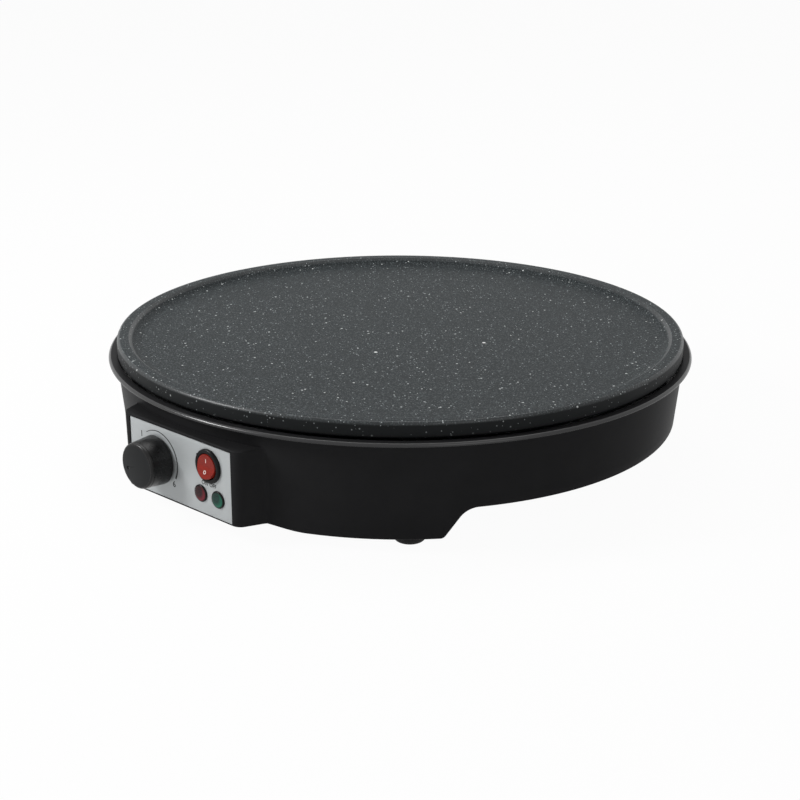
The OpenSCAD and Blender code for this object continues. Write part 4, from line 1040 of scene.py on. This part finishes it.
@dataclass
class BaseShell:
    """The moulded ring wall with its flared lip, leg ends and hand-holds, and the control box."""

    shop: Workshop
    foot: float = 6.5
    wall_top: float = 150.4
    lip_under: float = LIP_UNDER
    lip_top: float = 57.7
    lip_radius: float = 154.6
    slope: float = math.tan(math.radians(5.5))
    wall: float = 2.5
    ledge_high: float = 51.1
    ledge_under: float = 48.6
    ledge_hole: float = 123.4
    ledge_root: float = 137.4
    web_low: float = 53.1
    leg_radius: float = 145.7
    hold_rise: float = 15.3
    front_leg: float = 50.4
    rear_leg: float = 28.0
    wave_rise: float = 2.1
    wave_run: float = 26.0
    wave_az: float = 25.54
    box_half: float = 43.25
    box_low: float = 8.7
    box_toe: float = 1.3
    toe_end: float = -138.4
    box_high: float = 48.3
    box_front: float = -154.8
    box_back: float = -118.8
    box_draft: float = math.tan(math.radians(2.0))
    flare_az: float = 17.84
    corner: float = 5.0
    cavity_y: float = -151.5
    cavity_half: float = 39.37
    cavity_low: float = 12.0
    cavity_high: float = 46.3
    cavity_radius: float = 148.0
    floor_top: float = 24.8
    pad_height: float = 37.5

    def wall_radius(self, height: float) -> float:
        """Outer radius of the wall at a height."""
        return self.wall_top - (self.lip_under - height) * self.slope

    def leg_end(self, run: float) -> float:
        """The leg's end: a small round, a steep straight and a large round.

        Args:
            run: distance past the leg.

        Returns:
            The edge's height above the foot there.
        """
        small, large, rake = 3.0, 11.0, math.radians(55)
        straight = self.hold_rise - (small + large) * (1 - math.cos(rake))
        length = (small + large) * math.sin(rake) + straight / math.tan(rake)
        if run <= 0:
            return 0.0
        if run < small * math.sin(rake):
            return small - math.sqrt(small**2 - run**2)
        if run < length - large * math.sin(rake):
            return small * (1 - math.cos(rake)) + (run - small * math.sin(rake)) * math.tan(rake)
        if run < length:
            return self.hold_rise - large + math.sqrt(large**2 - (length - run) ** 2)
        return self.hold_rise

    def box_edge(self) -> float:
        """Azimuth within which the control box's cavity takes the wall's place."""
        return math.degrees(math.asin((self.cavity_half - 0.2) / self.cavity_radius))

    def skirt(self, azimuth: float) -> float:
        """The wall's lower edge.

        Args:
            azimuth: the azimuth.

        Returns:
            Its height above the foot there.
        """
        turn = abs((azimuth + 180) % 360 - 180)
        if turn < self.box_edge():
            return self.cavity_high + 0.3 - self.foot
        past = turn - self.front_leg if turn < 90 else 180 - self.rear_leg - turn
        hold = self.leg_end(self.leg_radius * math.sin(math.radians(past)))
        wave = self.leg_radius * math.sin(math.radians(max(self.wave_az - turn, 0)))
        rise = self.wave_rise * (1 - math.cos(math.pi * min(wave / self.wave_run, 1))) / 2
        return max(hold, rise)

    def azimuths(self) -> list[float]:
        """Azimuths of the wall's columns, closer together where its lower edge moves."""
        half = [float(i) for i in range(181)]
        half += [self.front_leg + 0.2 * i for i in range(-2, 42)]
        half += [180 - self.rear_leg - 0.2 * i for i in range(-2, 42)]
        half += [self.wave_az - 0.5 * i for i in range(16)]
        half += [self.box_edge() - 0.01, self.box_edge() + 0.01]
        half = sorted({round(a, 4) for a in half if 0 <= a <= 180})
        return half + [-a for a in half[::-1] if 0 < a < 180]

    def section(self, low: float) -> list[Point]:
        """The ring's closed section above one azimuth.

        Args:
            low: height of the wall's lower edge there.

        Returns:
            (radius, height) points.
        """
        edge = 0.7
        heights = [low + edge + (self.lip_under - 0.5 - low - edge) * i / 8 for i in range(9)]
        outer = [(self.wall_radius(z), z) for z in heights]
        lip = [(self.wall_top + 0.15, self.lip_under - 0.15), (self.wall_top + 0.6, self.lip_under)]
        lip += arc((self.lip_radius - 0.3, self.lip_under + 0.3), 0.3, -90, 0, 4)
        lip += arc((self.lip_radius - 1.5, self.lip_top - 1.5), 1.5, 0, 90, 14)
        lip += [(152.4, self.lip_top), *arc((self.wall_top, self.lip_top - 1.2), 1.2, 90, 114, 4)]
        ledge = [(143.5, 54.2), (138.2, 51.5), (self.ledge_root, self.ledge_high), (130.0, self.ledge_high),
                 (self.ledge_hole + 0.5, self.ledge_high), (self.ledge_hole, self.ledge_high - 0.5),
                 (self.ledge_hole, self.ledge_under), (self.ledge_root, self.ledge_under),
                 (147.7, self.web_low)]
        heights = [self.web_low + (low + edge - self.web_low) * i / 4 for i in range(1, 5)]
        inner = [(self.wall_radius(z) - self.wall, z) for z in heights]
        foot = [(self.wall_radius(low) - self.wall + 0.5, low), (self.wall_radius(low) - 0.9, low)]
        foot += [(self.wall_radius(low) - edge + edge * math.cos(t), low + edge - edge * math.sin(t))
                 for t in (1.2, 0.8, 0.4)]
        return outer + lip + ledge + inner + foot

    def ring(self) -> Mesh:
        """The wall and lip, as one closed ring."""
        sections = [(azimuth, self.section(self.foot + self.skirt(azimuth))) for azimuth in self.azimuths()]
        points = [around(azimuth, r, z) for azimuth, section in sections for r, z in section]
        return mesh_from("ring", points, woven(len(sections), len(sections[0][1])))

    def side(self, height: float, inset: float) -> list[Point]:
        """The right half of the box's outline at a height, from its front to its back.

        Args:
            height: the height.
            inset: how far the outline lies inside the full box, for its softened edges.

        Returns:
            (x, y) points round the corner, along the spreading side and past the wall.
        """
        half = self.box_half - (self.box_high - height) * self.box_draft - inset
        radius = self.corner - inset
        centre = (half - radius, self.box_front + self.corner)
        wall = self.wall_radius(height)
        seam = around(self.flare_az, wall, 0) - Vector((inset, 0, 0))
        out = Vector((seam.x - centre[0], seam.y - centre[1]))
        lean = math.atan2(out.y, out.x) - math.acos(radius / out.length)
        round_corner = arc(centre, radius, -90, math.degrees(lean), 14)
        before = Vector((round_corner[-1][0], round_corner[-1][1], 0))
        fillet, past_seam = 2.0, self.flare_az + 0.75
        start = seam + (before - seam).normalized() * fillet
        end = around(past_seam, wall - 0.02, 0) - Vector((inset, 0, 0))
        blend = [start * (1 - t) ** 2 + seam * 2 * t * (1 - t) + end * t * t for t in (0, 0.25, 0.5, 0.75, 1)]
        root = around(past_seam, wall - 1.0, 0)
        inner = -math.sqrt((wall - 1.2) ** 2 - half**2)
        return [*round_corner, *[(p.x, p.y) for p in blend], (root.x, root.y), (half, inner),
                (half, self.box_back)]

    def ring_at(self, height: float, inset: float, rise: float) -> list[Place]:
        """The box's closed outline at a height.

        Args:
            height: the height.
            inset: how far it lies inside the full box.
            rise: how much higher its front is.

        Returns:
            The outline's points.
        """
        right = self.side(height, inset)
        full = [(-x, y) for x, y in right[::-1]] + right
        reach = self.toe_end - self.box_front
        return [(x, y, height + rise * min(max((self.toe_end - y) / reach, 0), 1)) for x, y in full]

    def box_block(self) -> Mesh:
        """The box as a solid block with softened edges."""
        soft, middle = 0.9, 30.0
        bends = [(soft * (1 - math.cos(t)), soft * (1 - math.sin(t))) for t in np.linspace(0, math.pi / 2, 6)]
        rings = [self.ring_at(self.box_low + rise, inset, self.box_toe) for rise, inset in bends]
        rings.append(self.ring_at(middle, 0.0, 0.0))
        rings += [self.ring_at(self.box_high - rise, inset, 0.0) for rise, inset in bends[::-1]]
        count = len(rings[0])
        points = [p for ring in rings for p in ring]
        ends = [(0, 1, count - 2, count - 1), tuple(range(1, count - 1)),
                tuple(range(len(points) - count, len(points)))]
        return mesh_from("box", points, ends + woven(len(rings), count, round_loops=False))

    def build(self) -> None:
        """Builds the ring and the box."""
        past_lip, gap = 60.0, 0.4
        inner = self.wall_radius(self.floor_top) - self.wall + gap
        widening = self.wall_radius(past_lip) - self.wall + gap - inner
        behind = cylinder(inner, self.floor_top, past_lip, Matrix(), 200, widening)
        cavity_outline = rectangle(self.cavity_half, self.cavity_low, self.cavity_high)
        cavity = prism("cavity", cavity_outline, 2.5 - self.box_back, -self.cavity_y, UPRIGHT)
        recess = prism("recess", PANEL.outline(0.25), -PANEL.face_y - 1, 2 - self.box_front, UPRIGHT)
        box = carved(self.box_block(), [behind, cavity, recess, *PANEL.holes(6, 48)])
        self.keep("base_ring", self.ring(), 42)
        self.keep("control_box", box, 30)
        self.build_gland_pad()

    def keep(self, name: str, mesh: Mesh, crease: float) -> None:
        """Finishes a piece of the shell, whose edges that turn by more than the crease stay sharp."""
        finished(name, mesh, self.shop.finishes.shell, Body.BASE, ("base_shell",), crease)

    def build_gland_pad(self) -> None:
        """Builds the flat pad in the rear wall that the gland clamps on."""
        bore, rim, back, front = 7.1, 12.4, 142.63, 150.42
        pad = [(bore, back), (rim, back), (rim, front - 0.62), *arc((rim - 0.6, front - 0.6), 0.6, 0, 90, 5),
               (bore, front), (bore, back)]
        place = Matrix.Translation((0, 0, self.pad_height)) @ Matrix.Rotation(math.radians(-90), 4, "X")
        self.keep("gland_pad", self.shop.turning.turned("pad", pad, self.shop.finishes.shell, place, 72), 35)


@dataclass
class PanelPrint:
    """What is printed on the silver panel: the heat scale and the switch's ON and OFF."""

    shop: Workshop
    scale_radius: float = 14.5
    scale_start: float = 124.0
    scale_end: float = -28.0
    thin: float = 0.35
    thickening: float = 0.55
    number_size: float = 4.4
    word_size: float = 2.8
    word_height: float = 26.6
    ink_t: float = 0.04
    ink_spread: float = 0.06

    def words(self, text: str, size: float, at: Point) -> Mesh:
        """Draws a number or a word as a thin mesh on the panel.

        Args:
            text: what it says.
            size: its letter size.
            at: its middle on the panel.

        Returns:
            The mesh.
        """
        curve = bpy.data.curves.new("mark", "FONT")
        curve.body, curve.size = text, size
        curve.align_x = curve.align_y = "CENTER"
        curve.extrude = self.ink_t / 2
        curve.offset = self.ink_spread
        curve.resolution_u = 6
        holder = linked("mark", curve)
        mesh = settled(holder)
        bpy.data.objects.remove(holder)
        mesh.transform(PANEL.place(at, self.ink_t / 2))
        return mesh

    def scale(self) -> Mesh:
        """The curved scale line, which thickens as the heat rises."""
        steps = 60
        shares = [i / steps for i in range(steps + 1)]
        outline: list[Point] = []
        for side, order in ((1, shares), (-1, [1 - share for share in shares])):
            for share in order:
                turn = math.radians(self.scale_start + (self.scale_end - self.scale_start) * share)
                r = self.scale_radius + side * (self.thin + self.thickening * share) / 2
                outline.append((r * math.cos(turn), r * math.sin(turn)))
        count = len(outline)
        points = [(x, y, z) for z in (0.0, self.ink_t) for x, y in outline]
        faces: list = []
        for i in range(steps):
            a, b, c, d = i, i + 1, count - 2 - i, count - 1 - i
            faces += [(a, b, c, d), (a + count, d + count, c + count, b + count)]
        mesh = mesh_from("scale", points, faces + woven(2, count, round_loops=False))
        mesh.transform(PANEL.place(PANEL.knob))
        return mesh

    def build(self) -> None:
        """Builds the print."""
        marks = [self.scale()]
        for text, angle, radius in (("1", 139.0, 15.6), ("6", -41.0, 15.2)):
            turn = math.radians(angle)
            at = (PANEL.knob[0] + radius * math.cos(turn), PANEL.knob[1] + radius * math.sin(turn))
            marks.append(self.words(text, self.number_size, at))
        for text, across in (("ON", 17.9), ("OFF", 23.7)):
            marks.append(self.words(text, self.word_size, (across, self.word_height)))
        ink = self.shop.finishes.black_ink
        finished("panel_print", joined("print", marks), ink, Body.BASE)


@dataclass
class ControlPanel:
    """The silver face plate, its lamps and the power switch."""

    shop: Workshop
    thick: float = 1.0
    bezel_r: float = 8.5
    bezel_h: float = 1.5
    bore_r: float = 6.5
    barrel_r: float = 7.8
    barrel_back: float = -16.0
    rocker_r: float = 6.2
    rocker_dip: float = 1.0
    rocker_valley: float = 0.4
    pivot: float = 0.8
    tilt: float = 9.5
    mark_up: float = 2.75
    mark_t: float = 0.07
    lamp_r: float = 4.35
    lamp_back: float = -10.0

    def build(self) -> None:
        """Builds the face plate and what sits in it."""
        face = -PANEL.face_y
        plate = prism("panel", PANEL.outline(0.0), face - self.thick, face, UPRIGHT, 0.12)
        finished("silver_panel", carved(plate, PANEL.holes(3, 64)), self.shop.finishes.silver, Body.BASE,
                 ("control_panel",), 30)
        self.build_bezel()
        self.build_rocker()
        self.build_lamps()

    def build_bezel(self) -> None:
        """Builds the switch's round bezel, its barrel and the four small nubs on its edge."""
        place = PANEL.place(PANEL.switch)
        top, rounding, floor = self.bezel_h, 0.9, -5.7
        profile = [(0, self.barrel_back), (self.barrel_r, self.barrel_back), (self.barrel_r, 0),
                   (self.bezel_r, 0), (self.bezel_r, top - rounding),
                   *arc((self.bezel_r - rounding, top - rounding), rounding, 0, 90, 8),
                   (self.bore_r + 0.5, top), *arc((self.bore_r + 0.3, top - 0.3), 0.3, 90, 180, 5),
                   (self.bore_r, floor), (0, floor)]
        finish = self.shop.finishes.bezel
        turned = self.shop.turning.turned
        ring = turned("bezel", profile, finish, place, 96)
        dome = [(0, -0.3), (0.5, -0.3), *arc((0.05, 0), 0.5, 0, 90, 5), (0, 0.5)]
        spots = [(x, z, 0.45) for x, z in ((2.6, 7.9), (-7.4, 4.2), (-7.6, -3.6), (1.8, -8.1))]
        nub = turned("nub", dome, finish, Matrix(), 16)
        nubs = self.shop.repeating.repeated("nubs", nub, spots, [0.0] * len(spots), finish)
        nubs.transform(place)
        finished("switch_bezel", joined("bezel", [ring, nubs]), finish, Body.BASE,
                 ("switch_body",), 35)

    def rocker_height(self, up: float) -> float:
        """Height of the rocker's face above its pivot, at a distance from its valley."""
        slant = math.sqrt(up * up + self.rocker_valley**2) - self.rocker_valley
        return self.rocker_dip + slant * math.tan(math.radians(self.tilt))

    def rocker_column(self, turn: float) -> list[Place]:
        """Points of the rocker along one direction, from the middle of its face to below its side.

        Args:
            turn: the direction, in radians.

        Returns:
            The points.
        """
        edge = self.rocker_r - 0.05
        for _ in range(20):
            edge = math.sqrt(self.rocker_r**2 - self.rocker_height(edge * math.sin(turn)) ** 2)
        last_share = 0.92
        points = []
        for share in (0.0, 0.12, 0.25, 0.4, 0.55, 0.7, 0.82, last_share):
            r = (edge - 0.35) * share / last_share
            points.append((r, self.rocker_height(r * math.sin(turn))))
        side = self.rocker_height(edge * math.sin(turn))
        points += [(edge - 0.12, side - 0.02), (edge - 0.01, side - 0.16)]
        start, end, steps = math.asin(min(1.0, (side - 0.3) / self.rocker_r)), -0.62, 6
        points += [(self.rocker_r * math.cos(a), self.rocker_r * math.sin(a))
                   for a in (start + (end - start) * i / steps for i in range(steps + 1))]
        points.append((0.0, -3.7))
        return [(r * math.cos(turn), r * math.sin(turn), h) for r, h in points]

    def build_rocker(self) -> None:
        """Builds the red rocker with its two marks."""
        columns = 72
        grid = [self.rocker_column(2 * math.pi * i / columns) for i in range(columns)]
        faces = woven(columns, len(grid[0]), round_points=False)
        rocker = mesh_from("rocker", [p for column in grid for p in column], faces)
        tilted = PANEL.place(PANEL.switch, self.pivot) @ Matrix.Rotation(math.radians(-self.tilt), 4, "X")
        rocker.transform(tilted)
        finished("rocker_red_button", rocker, self.shop.finishes.red_button, Body.ROCKER,
                 ("rocker_button",), 40)
        ink = self.shop.finishes.white_ink
        above, below = (
            tilted @ Matrix.Translation((0, sign * self.mark_up, self.rocker_height(self.mark_up) - 0.03))
            @ Matrix.Rotation(math.radians(sign * self.tilt), 4, "X") for sign in (1, -1))
        inner, outer = 0.55, 0.92
        ring = [(inner, 0), (outer, 0), (outer, self.mark_t), (inner, self.mark_t), (inner, 0)]
        marks = [prism("on", rectangle(0.2, -0.95, 0.95), 0, self.mark_t, above),
                 self.shop.turning.turned("off", ring, ink, below, 32)]
        finished("rocker_marks", joined("marks", marks), ink, Body.ROCKER)

    def build_lamps(self) -> None:
        """Builds the two lamp lenses."""
        bore, barrel, rim, crown = 2.65, 3.45, 0.25, 0.9
        profile = [(0, 0), (bore, 0), (bore, self.lamp_back), (barrel, self.lamp_back), (barrel, 0),
                   (self.lamp_r, 0), (self.lamp_r, rim), *arc((self.lamp_r - 0.6, rim), 0.6, 0, 70, 6),
                   (2.4, crown - 0.04), (1.2, crown), (0, crown)]
        lenses = {"red": self.shop.finishes.red_lens, "green": self.shop.finishes.green_lens}
        for spot, (colour, finish) in zip(PANEL.lamps, lenses.items()):
            node = colour + "_lamp_lens"
            lens = self.shop.turning.turned(node, profile, finish, PANEL.place(spot), 64)
            finished(node + "_clear", lens, finish, Body.BASE, (node,), 35)


@dataclass
class HeatKnob:
    """The tapered temperature knob with its satin face and pointer dimple."""

    shop: Workshop
    stand_off: float = 0.8
    foot_r: float = 12.4
    face_r: float = 11.45
    length: float = 12.4
    skirt_r: float = 10.8
    boss_r: float = 4.8
    boss_foot: float = 3.7
    shaft_r: float = 3.06
    pointer: float = 200.0
    pointer_r: float = 6.9

    def body_profile(self) -> list[Point]:
        """The section of the knob's body, from the boss round its outside to the shaft's bore."""
        taper = (self.foot_r - self.face_r) / self.length
        groove = self.length - 1.95
        side = self.foot_r - taper * groove
        edge, floor, top = 1.0, self.length - 2, self.length - 0.02
        bore_end = self.length - 2.2
        return [(self.boss_r, self.boss_foot), (self.boss_r, floor), (self.skirt_r, floor),
                (self.skirt_r, 0.25), (self.skirt_r + 0.25, 0), (self.foot_r - 0.25, 0), (self.foot_r, 0.25),
                (self.foot_r - taper * 4, 4), (side, groove), (side - 0.15, groove + 0.06),
                (side - 0.15, groove + 0.32), (side - 0.04, groove + 0.4),
                *arc((self.face_r - edge, self.length - edge), edge, 0, 84, 12),
                (self.face_r - 1.25, top), (0, top), (0, bore_end), (self.shaft_r, bore_end),
                (self.shaft_r, self.boss_foot), (self.boss_r, self.boss_foot)]

    def build(self) -> None:
        """Builds the knob's body and its face."""
        place = PANEL.place(PANEL.knob, self.stand_off)
        turned = self.shop.turning.turned
        side_finish, face_finish = self.shop.finishes.knob, self.shop.finishes.knob_face
        body = turned("knob", self.body_profile(), side_finish, place, 128)
        back, face_top = self.length - 0.3, self.length + 0.02
        face = turned("face", [(0, back), (self.face_r - 1.2, back), (self.face_r - 1.1, self.length - 0.03),
                               (self.face_r - 1.25, face_top), (0, face_top)], face_finish, place, 128)
        turn = Matrix.Rotation(math.radians(self.pointer), 4, "Z")
        spot = turn @ Matrix.Translation((self.pointer_r, 0, 0))
        dimple_r, past_face = 0.9, self.length + 1
        bowl = turned("bowl", [(0, self.length - 0.75), *arc((0, self.length + 0.15), dimple_r, -80, 0, 8),
                               (dimple_r, past_face), (0, past_face)], side_finish, place @ spot, 32)
        for name, mesh, finish, cutter in (("knob_body", body, side_finish, bowl.copy()),
                                           ("knob_face", face, face_finish, bowl)):
            finished(name, carved(mesh, [cutter]), finish, Body.KNOB,
                     ("temperature_knob",), 32)


@dataclass
class Underside:
    """The rubber feet and the screws that hold them."""

    shop: Workshop
    foot_azimuths: tuple[float, ...] = (-45.0, 45.0, 204.0, 156.0)
    foot_circle: float = 130.5
    foot_r: float = 7.9
    foot_h: float = 6.5
    foot_well: float = 4.2
    screw_seat: float = 3.4
    screw_bore: float = 1.9
    head_r: float = 3.6
    head_h: float = 1.6
    head_dome: float = 1.1
    head_turns: tuple[float, ...] = (20.0, 65.0, 110.0, 5.0)
    loose_turn: float = 0.6
    shank_r: float = 1.75
    shank_top: float = 14.4

    def foot(self) -> Mesh:
        """A rubber foot with the well that its screw sits in."""
        r, h, rounding = self.foot_r, self.foot_h, 2.6
        profile = [(self.foot_well, self.screw_seat), (self.foot_well, 0.3), (self.foot_well + 0.3, 0),
                   (r - rounding, 0), *arc((r - rounding, rounding), rounding, -86, 0, 12),
                   (r, h - 0.4), (r - 0.3, h), (self.screw_bore, h), (self.screw_bore, self.screw_seat),
                   (self.foot_well, self.screw_seat)]
        return self.shop.turning.turned("foot", profile, self.shop.finishes.rubber, Matrix(), 72)

    def screw_head(self) -> Mesh:
        """A cross-recessed screw head that points down, round its own origin."""
        r, rim = self.head_r, -self.head_h * 0.4
        crown = [(r * math.cos(t), rim - self.head_dome * math.sin(t)) for t in (0.3, 0.6, 0.9, 1.2)]
        profile = [(0, 0), (r, 0), (r, rim), *crown, (0, rim - self.head_dome)]
        head = self.shop.turning.turned("head", profile, self.shop.finishes.steel, Matrix(), 40)
        slots = [prism("slot", rectangle(r * 0.62, -r * 0.12, r * 0.12), -self.head_h - self.head_dome - 1,
                       -self.head_h * 0.35, Matrix.Rotation(math.radians(turn), 4, "Z")) for turn in (0, 90)]
        return carved(head, slots)

    def build(self) -> None:
        """Builds the feet and screws."""
        rubber, steel = self.shop.finishes.rubber, self.shop.finishes.steel
        foot = self.foot()
        columns = [Matrix.Translation(around(a, self.foot_circle, 0)) for a in self.foot_azimuths]
        corners = ("front_left", "front_right", "rear_left", "rear_right")
        for corner, column in zip(corners, columns):
            node = "foot_" + corner
            mesh = foot.copy()
            mesh.transform(column)
            finished(node + "_rubber", mesh, rubber, Body.BASE, (node,), 40)
        places = [around(a, self.foot_circle, self.screw_seat) for a in self.foot_azimuths]
        heads = self.shop.repeating.repeated(
            "foot_screw_heads", self.screw_head(), places, list(self.head_turns), steel, self.loose_turn)
        shanks = [cylinder(self.shank_r, self.screw_seat - 0.1, self.shank_top, column, 32)
                  for column in columns]
        finished("foot_screw_set", joined("screws", [heads, *shanks]), steel, Body.BASE,
                 ("foot_screws",), 30)


@dataclass
class Studio:
    """The camera, lights, floor and backdrop."""

    azimuth: float = 42.92
    tilt: float = 19.517
    roll: float = 0.165
    lens: float = 74.44
    sensor: float = 36.0
    near: float = 0.05
    far: float = 30.0
    place: Place = (-0.05, -848.29, 324.68)
    floor_half: float = 6.0
    paper_colour: str = "#ececec"
    paper_glow: float = 0.96
    surroundings: float = 0.2

    def camera(self) -> None:
        """Makes the camera at the photograph's viewing angle."""
        turn = Matrix.Rotation(math.radians(self.azimuth), 3, "Z")
        tilt, roll = math.radians(self.tilt), math.radians(self.roll)
        forward = turn @ Vector((0, math.cos(tilt), -math.sin(tilt)))
        right, up = turn @ Vector((1, 0, 0)), turn @ Vector((0, math.sin(tilt), math.cos(tilt)))
        across = right * math.cos(roll) + up * math.sin(roll)
        above = up * math.cos(roll) - right * math.sin(roll)
        data = bpy.data.cameras.new("camera")
        data.lens, data.sensor_width = self.lens, self.sensor
        data.clip_start, data.clip_end = self.near, self.far
        thing = linked("camera", data)
        axes = Matrix((across, above, -forward)).transposed().to_4x4()
        thing.matrix_world = Matrix.Translation(turn @ Vector(self.place) * MM) @ axes
        bpy.context.scene.camera = thing

    def light(self, name: str, place: Place, size: Point, strength: float) -> None:
        """Makes a soft rectangular light that points at the object.

        Args:
            name: its name.
            place: its place in the camera's frame, in metres.
            size: its width and height in metres.
            strength: its power in watts.
        """
        data = bpy.data.lights.new(name, "AREA")
        data.shape, data.size, data.size_y, data.energy = "RECTANGLE", size[0], size[1], strength
        spot = Matrix.Rotation(math.radians(self.azimuth), 3, "Z") @ Vector(place)
        aim = (Vector((0, 0, 0.04)) - spot).to_track_quat("-Z", "Y")
        linked(name, data).matrix_world = Matrix.Translation(spot) @ aim.to_matrix().to_4x4()

    def floor(self) -> None:
        """Makes the pale floor, which keeps the object's shadow and fades to white."""
        mesh = bpy.data.meshes.new("floor")
        half = self.floor_half
        corners = [(x, y, 0) for x, y in rectangle(half, -half, half)]
        mesh.from_pydata(corners, [], [(0, 1, 2, 3)])
        material = bpy.data.materials.new("white studio paper")
        tree = emptied(material)
        paper = add(tree, "ShaderNodeBsdfDiffuse", inputs={"Color": to_linear(self.paper_colour)})
        shine = add(tree, "ShaderNodeEmission", inputs={"Color": (1, 1, 1, 1), "Strength": 1.0})
        share = add(tree, "ShaderNodeMath", {"operation": "MULTIPLY"}, {
            0: self.seen(tree), 1: self.paper_glow})
        mix = add(tree, "ShaderNodeMixShader", inputs={0: share, 1: paper, 2: shine})
        add(tree, "ShaderNodeOutputMaterial", inputs={0: mix})
        mesh.materials.append(material)
        linked("floor", mesh)

    def seen(self, tree: Tree) -> Node:
        """1 for rays from the camera, or off metal or through glass, and 0 for the rest.

        Args:
            tree: the floor's or the world's tree.

        Returns:
            The node that gives it.
        """
        path = add(tree, "ShaderNodeLightPath").outputs
        both = add(tree, "ShaderNodeMath", {"operation": "MAXIMUM"}, {
            0: path["Is Camera Ray"], 1: path["Is Glossy Ray"]})
        return add(tree, "ShaderNodeMath", {"operation": "MAXIMUM"}, {
            0: both, 1: path["Is Transmission Ray"]})

    def world(self) -> None:
        """Makes the white surroundings."""
        world = bpy.data.worlds.new("studio")
        bpy.context.scene.world = world
        tree = emptied(world)
        soft, white = (
            add(tree, "ShaderNodeBackground", inputs={"Color": (1, 1, 1, 1), "Strength": strength})
            for strength in (self.surroundings, 1.0))
        mix = add(tree, "ShaderNodeMixShader", inputs={0: self.seen(tree), 1: soft, 2: white})
        add(tree, "ShaderNodeOutputWorld", inputs={0: mix})

    def build(self) -> None:
        """Builds the studio."""
        bpy.context.scene.view_settings.view_transform = "Standard"
        self.camera()
        self.world()
        self.floor()
        self.light("key", (-0.92, -0.2, 0.64), (0.34, 0.3), 8.0)
        self.light("top", (0.0, 0.5, 1.4), (1.2, 0.8), 8.0)
        self.light("fill", (0.7, -1.3, 0.9), (0.9, 0.9), 3.2)


def main() -> None:
    """Builds the crepe maker's looks and reports each piece."""
    logging.basicConfig(level=logging.INFO, format="%(name)s %(message)s")
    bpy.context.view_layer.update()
    Studio().build()
    shop = Workshop()
    shop.finishes.dress_nodes()
    for assembly in (GriddlePlate, BaseShell, ControlPanel, PanelPrint, HeatKnob, Underside):
        assembly(shop).build()


if __name__ == "__main__":
    main()
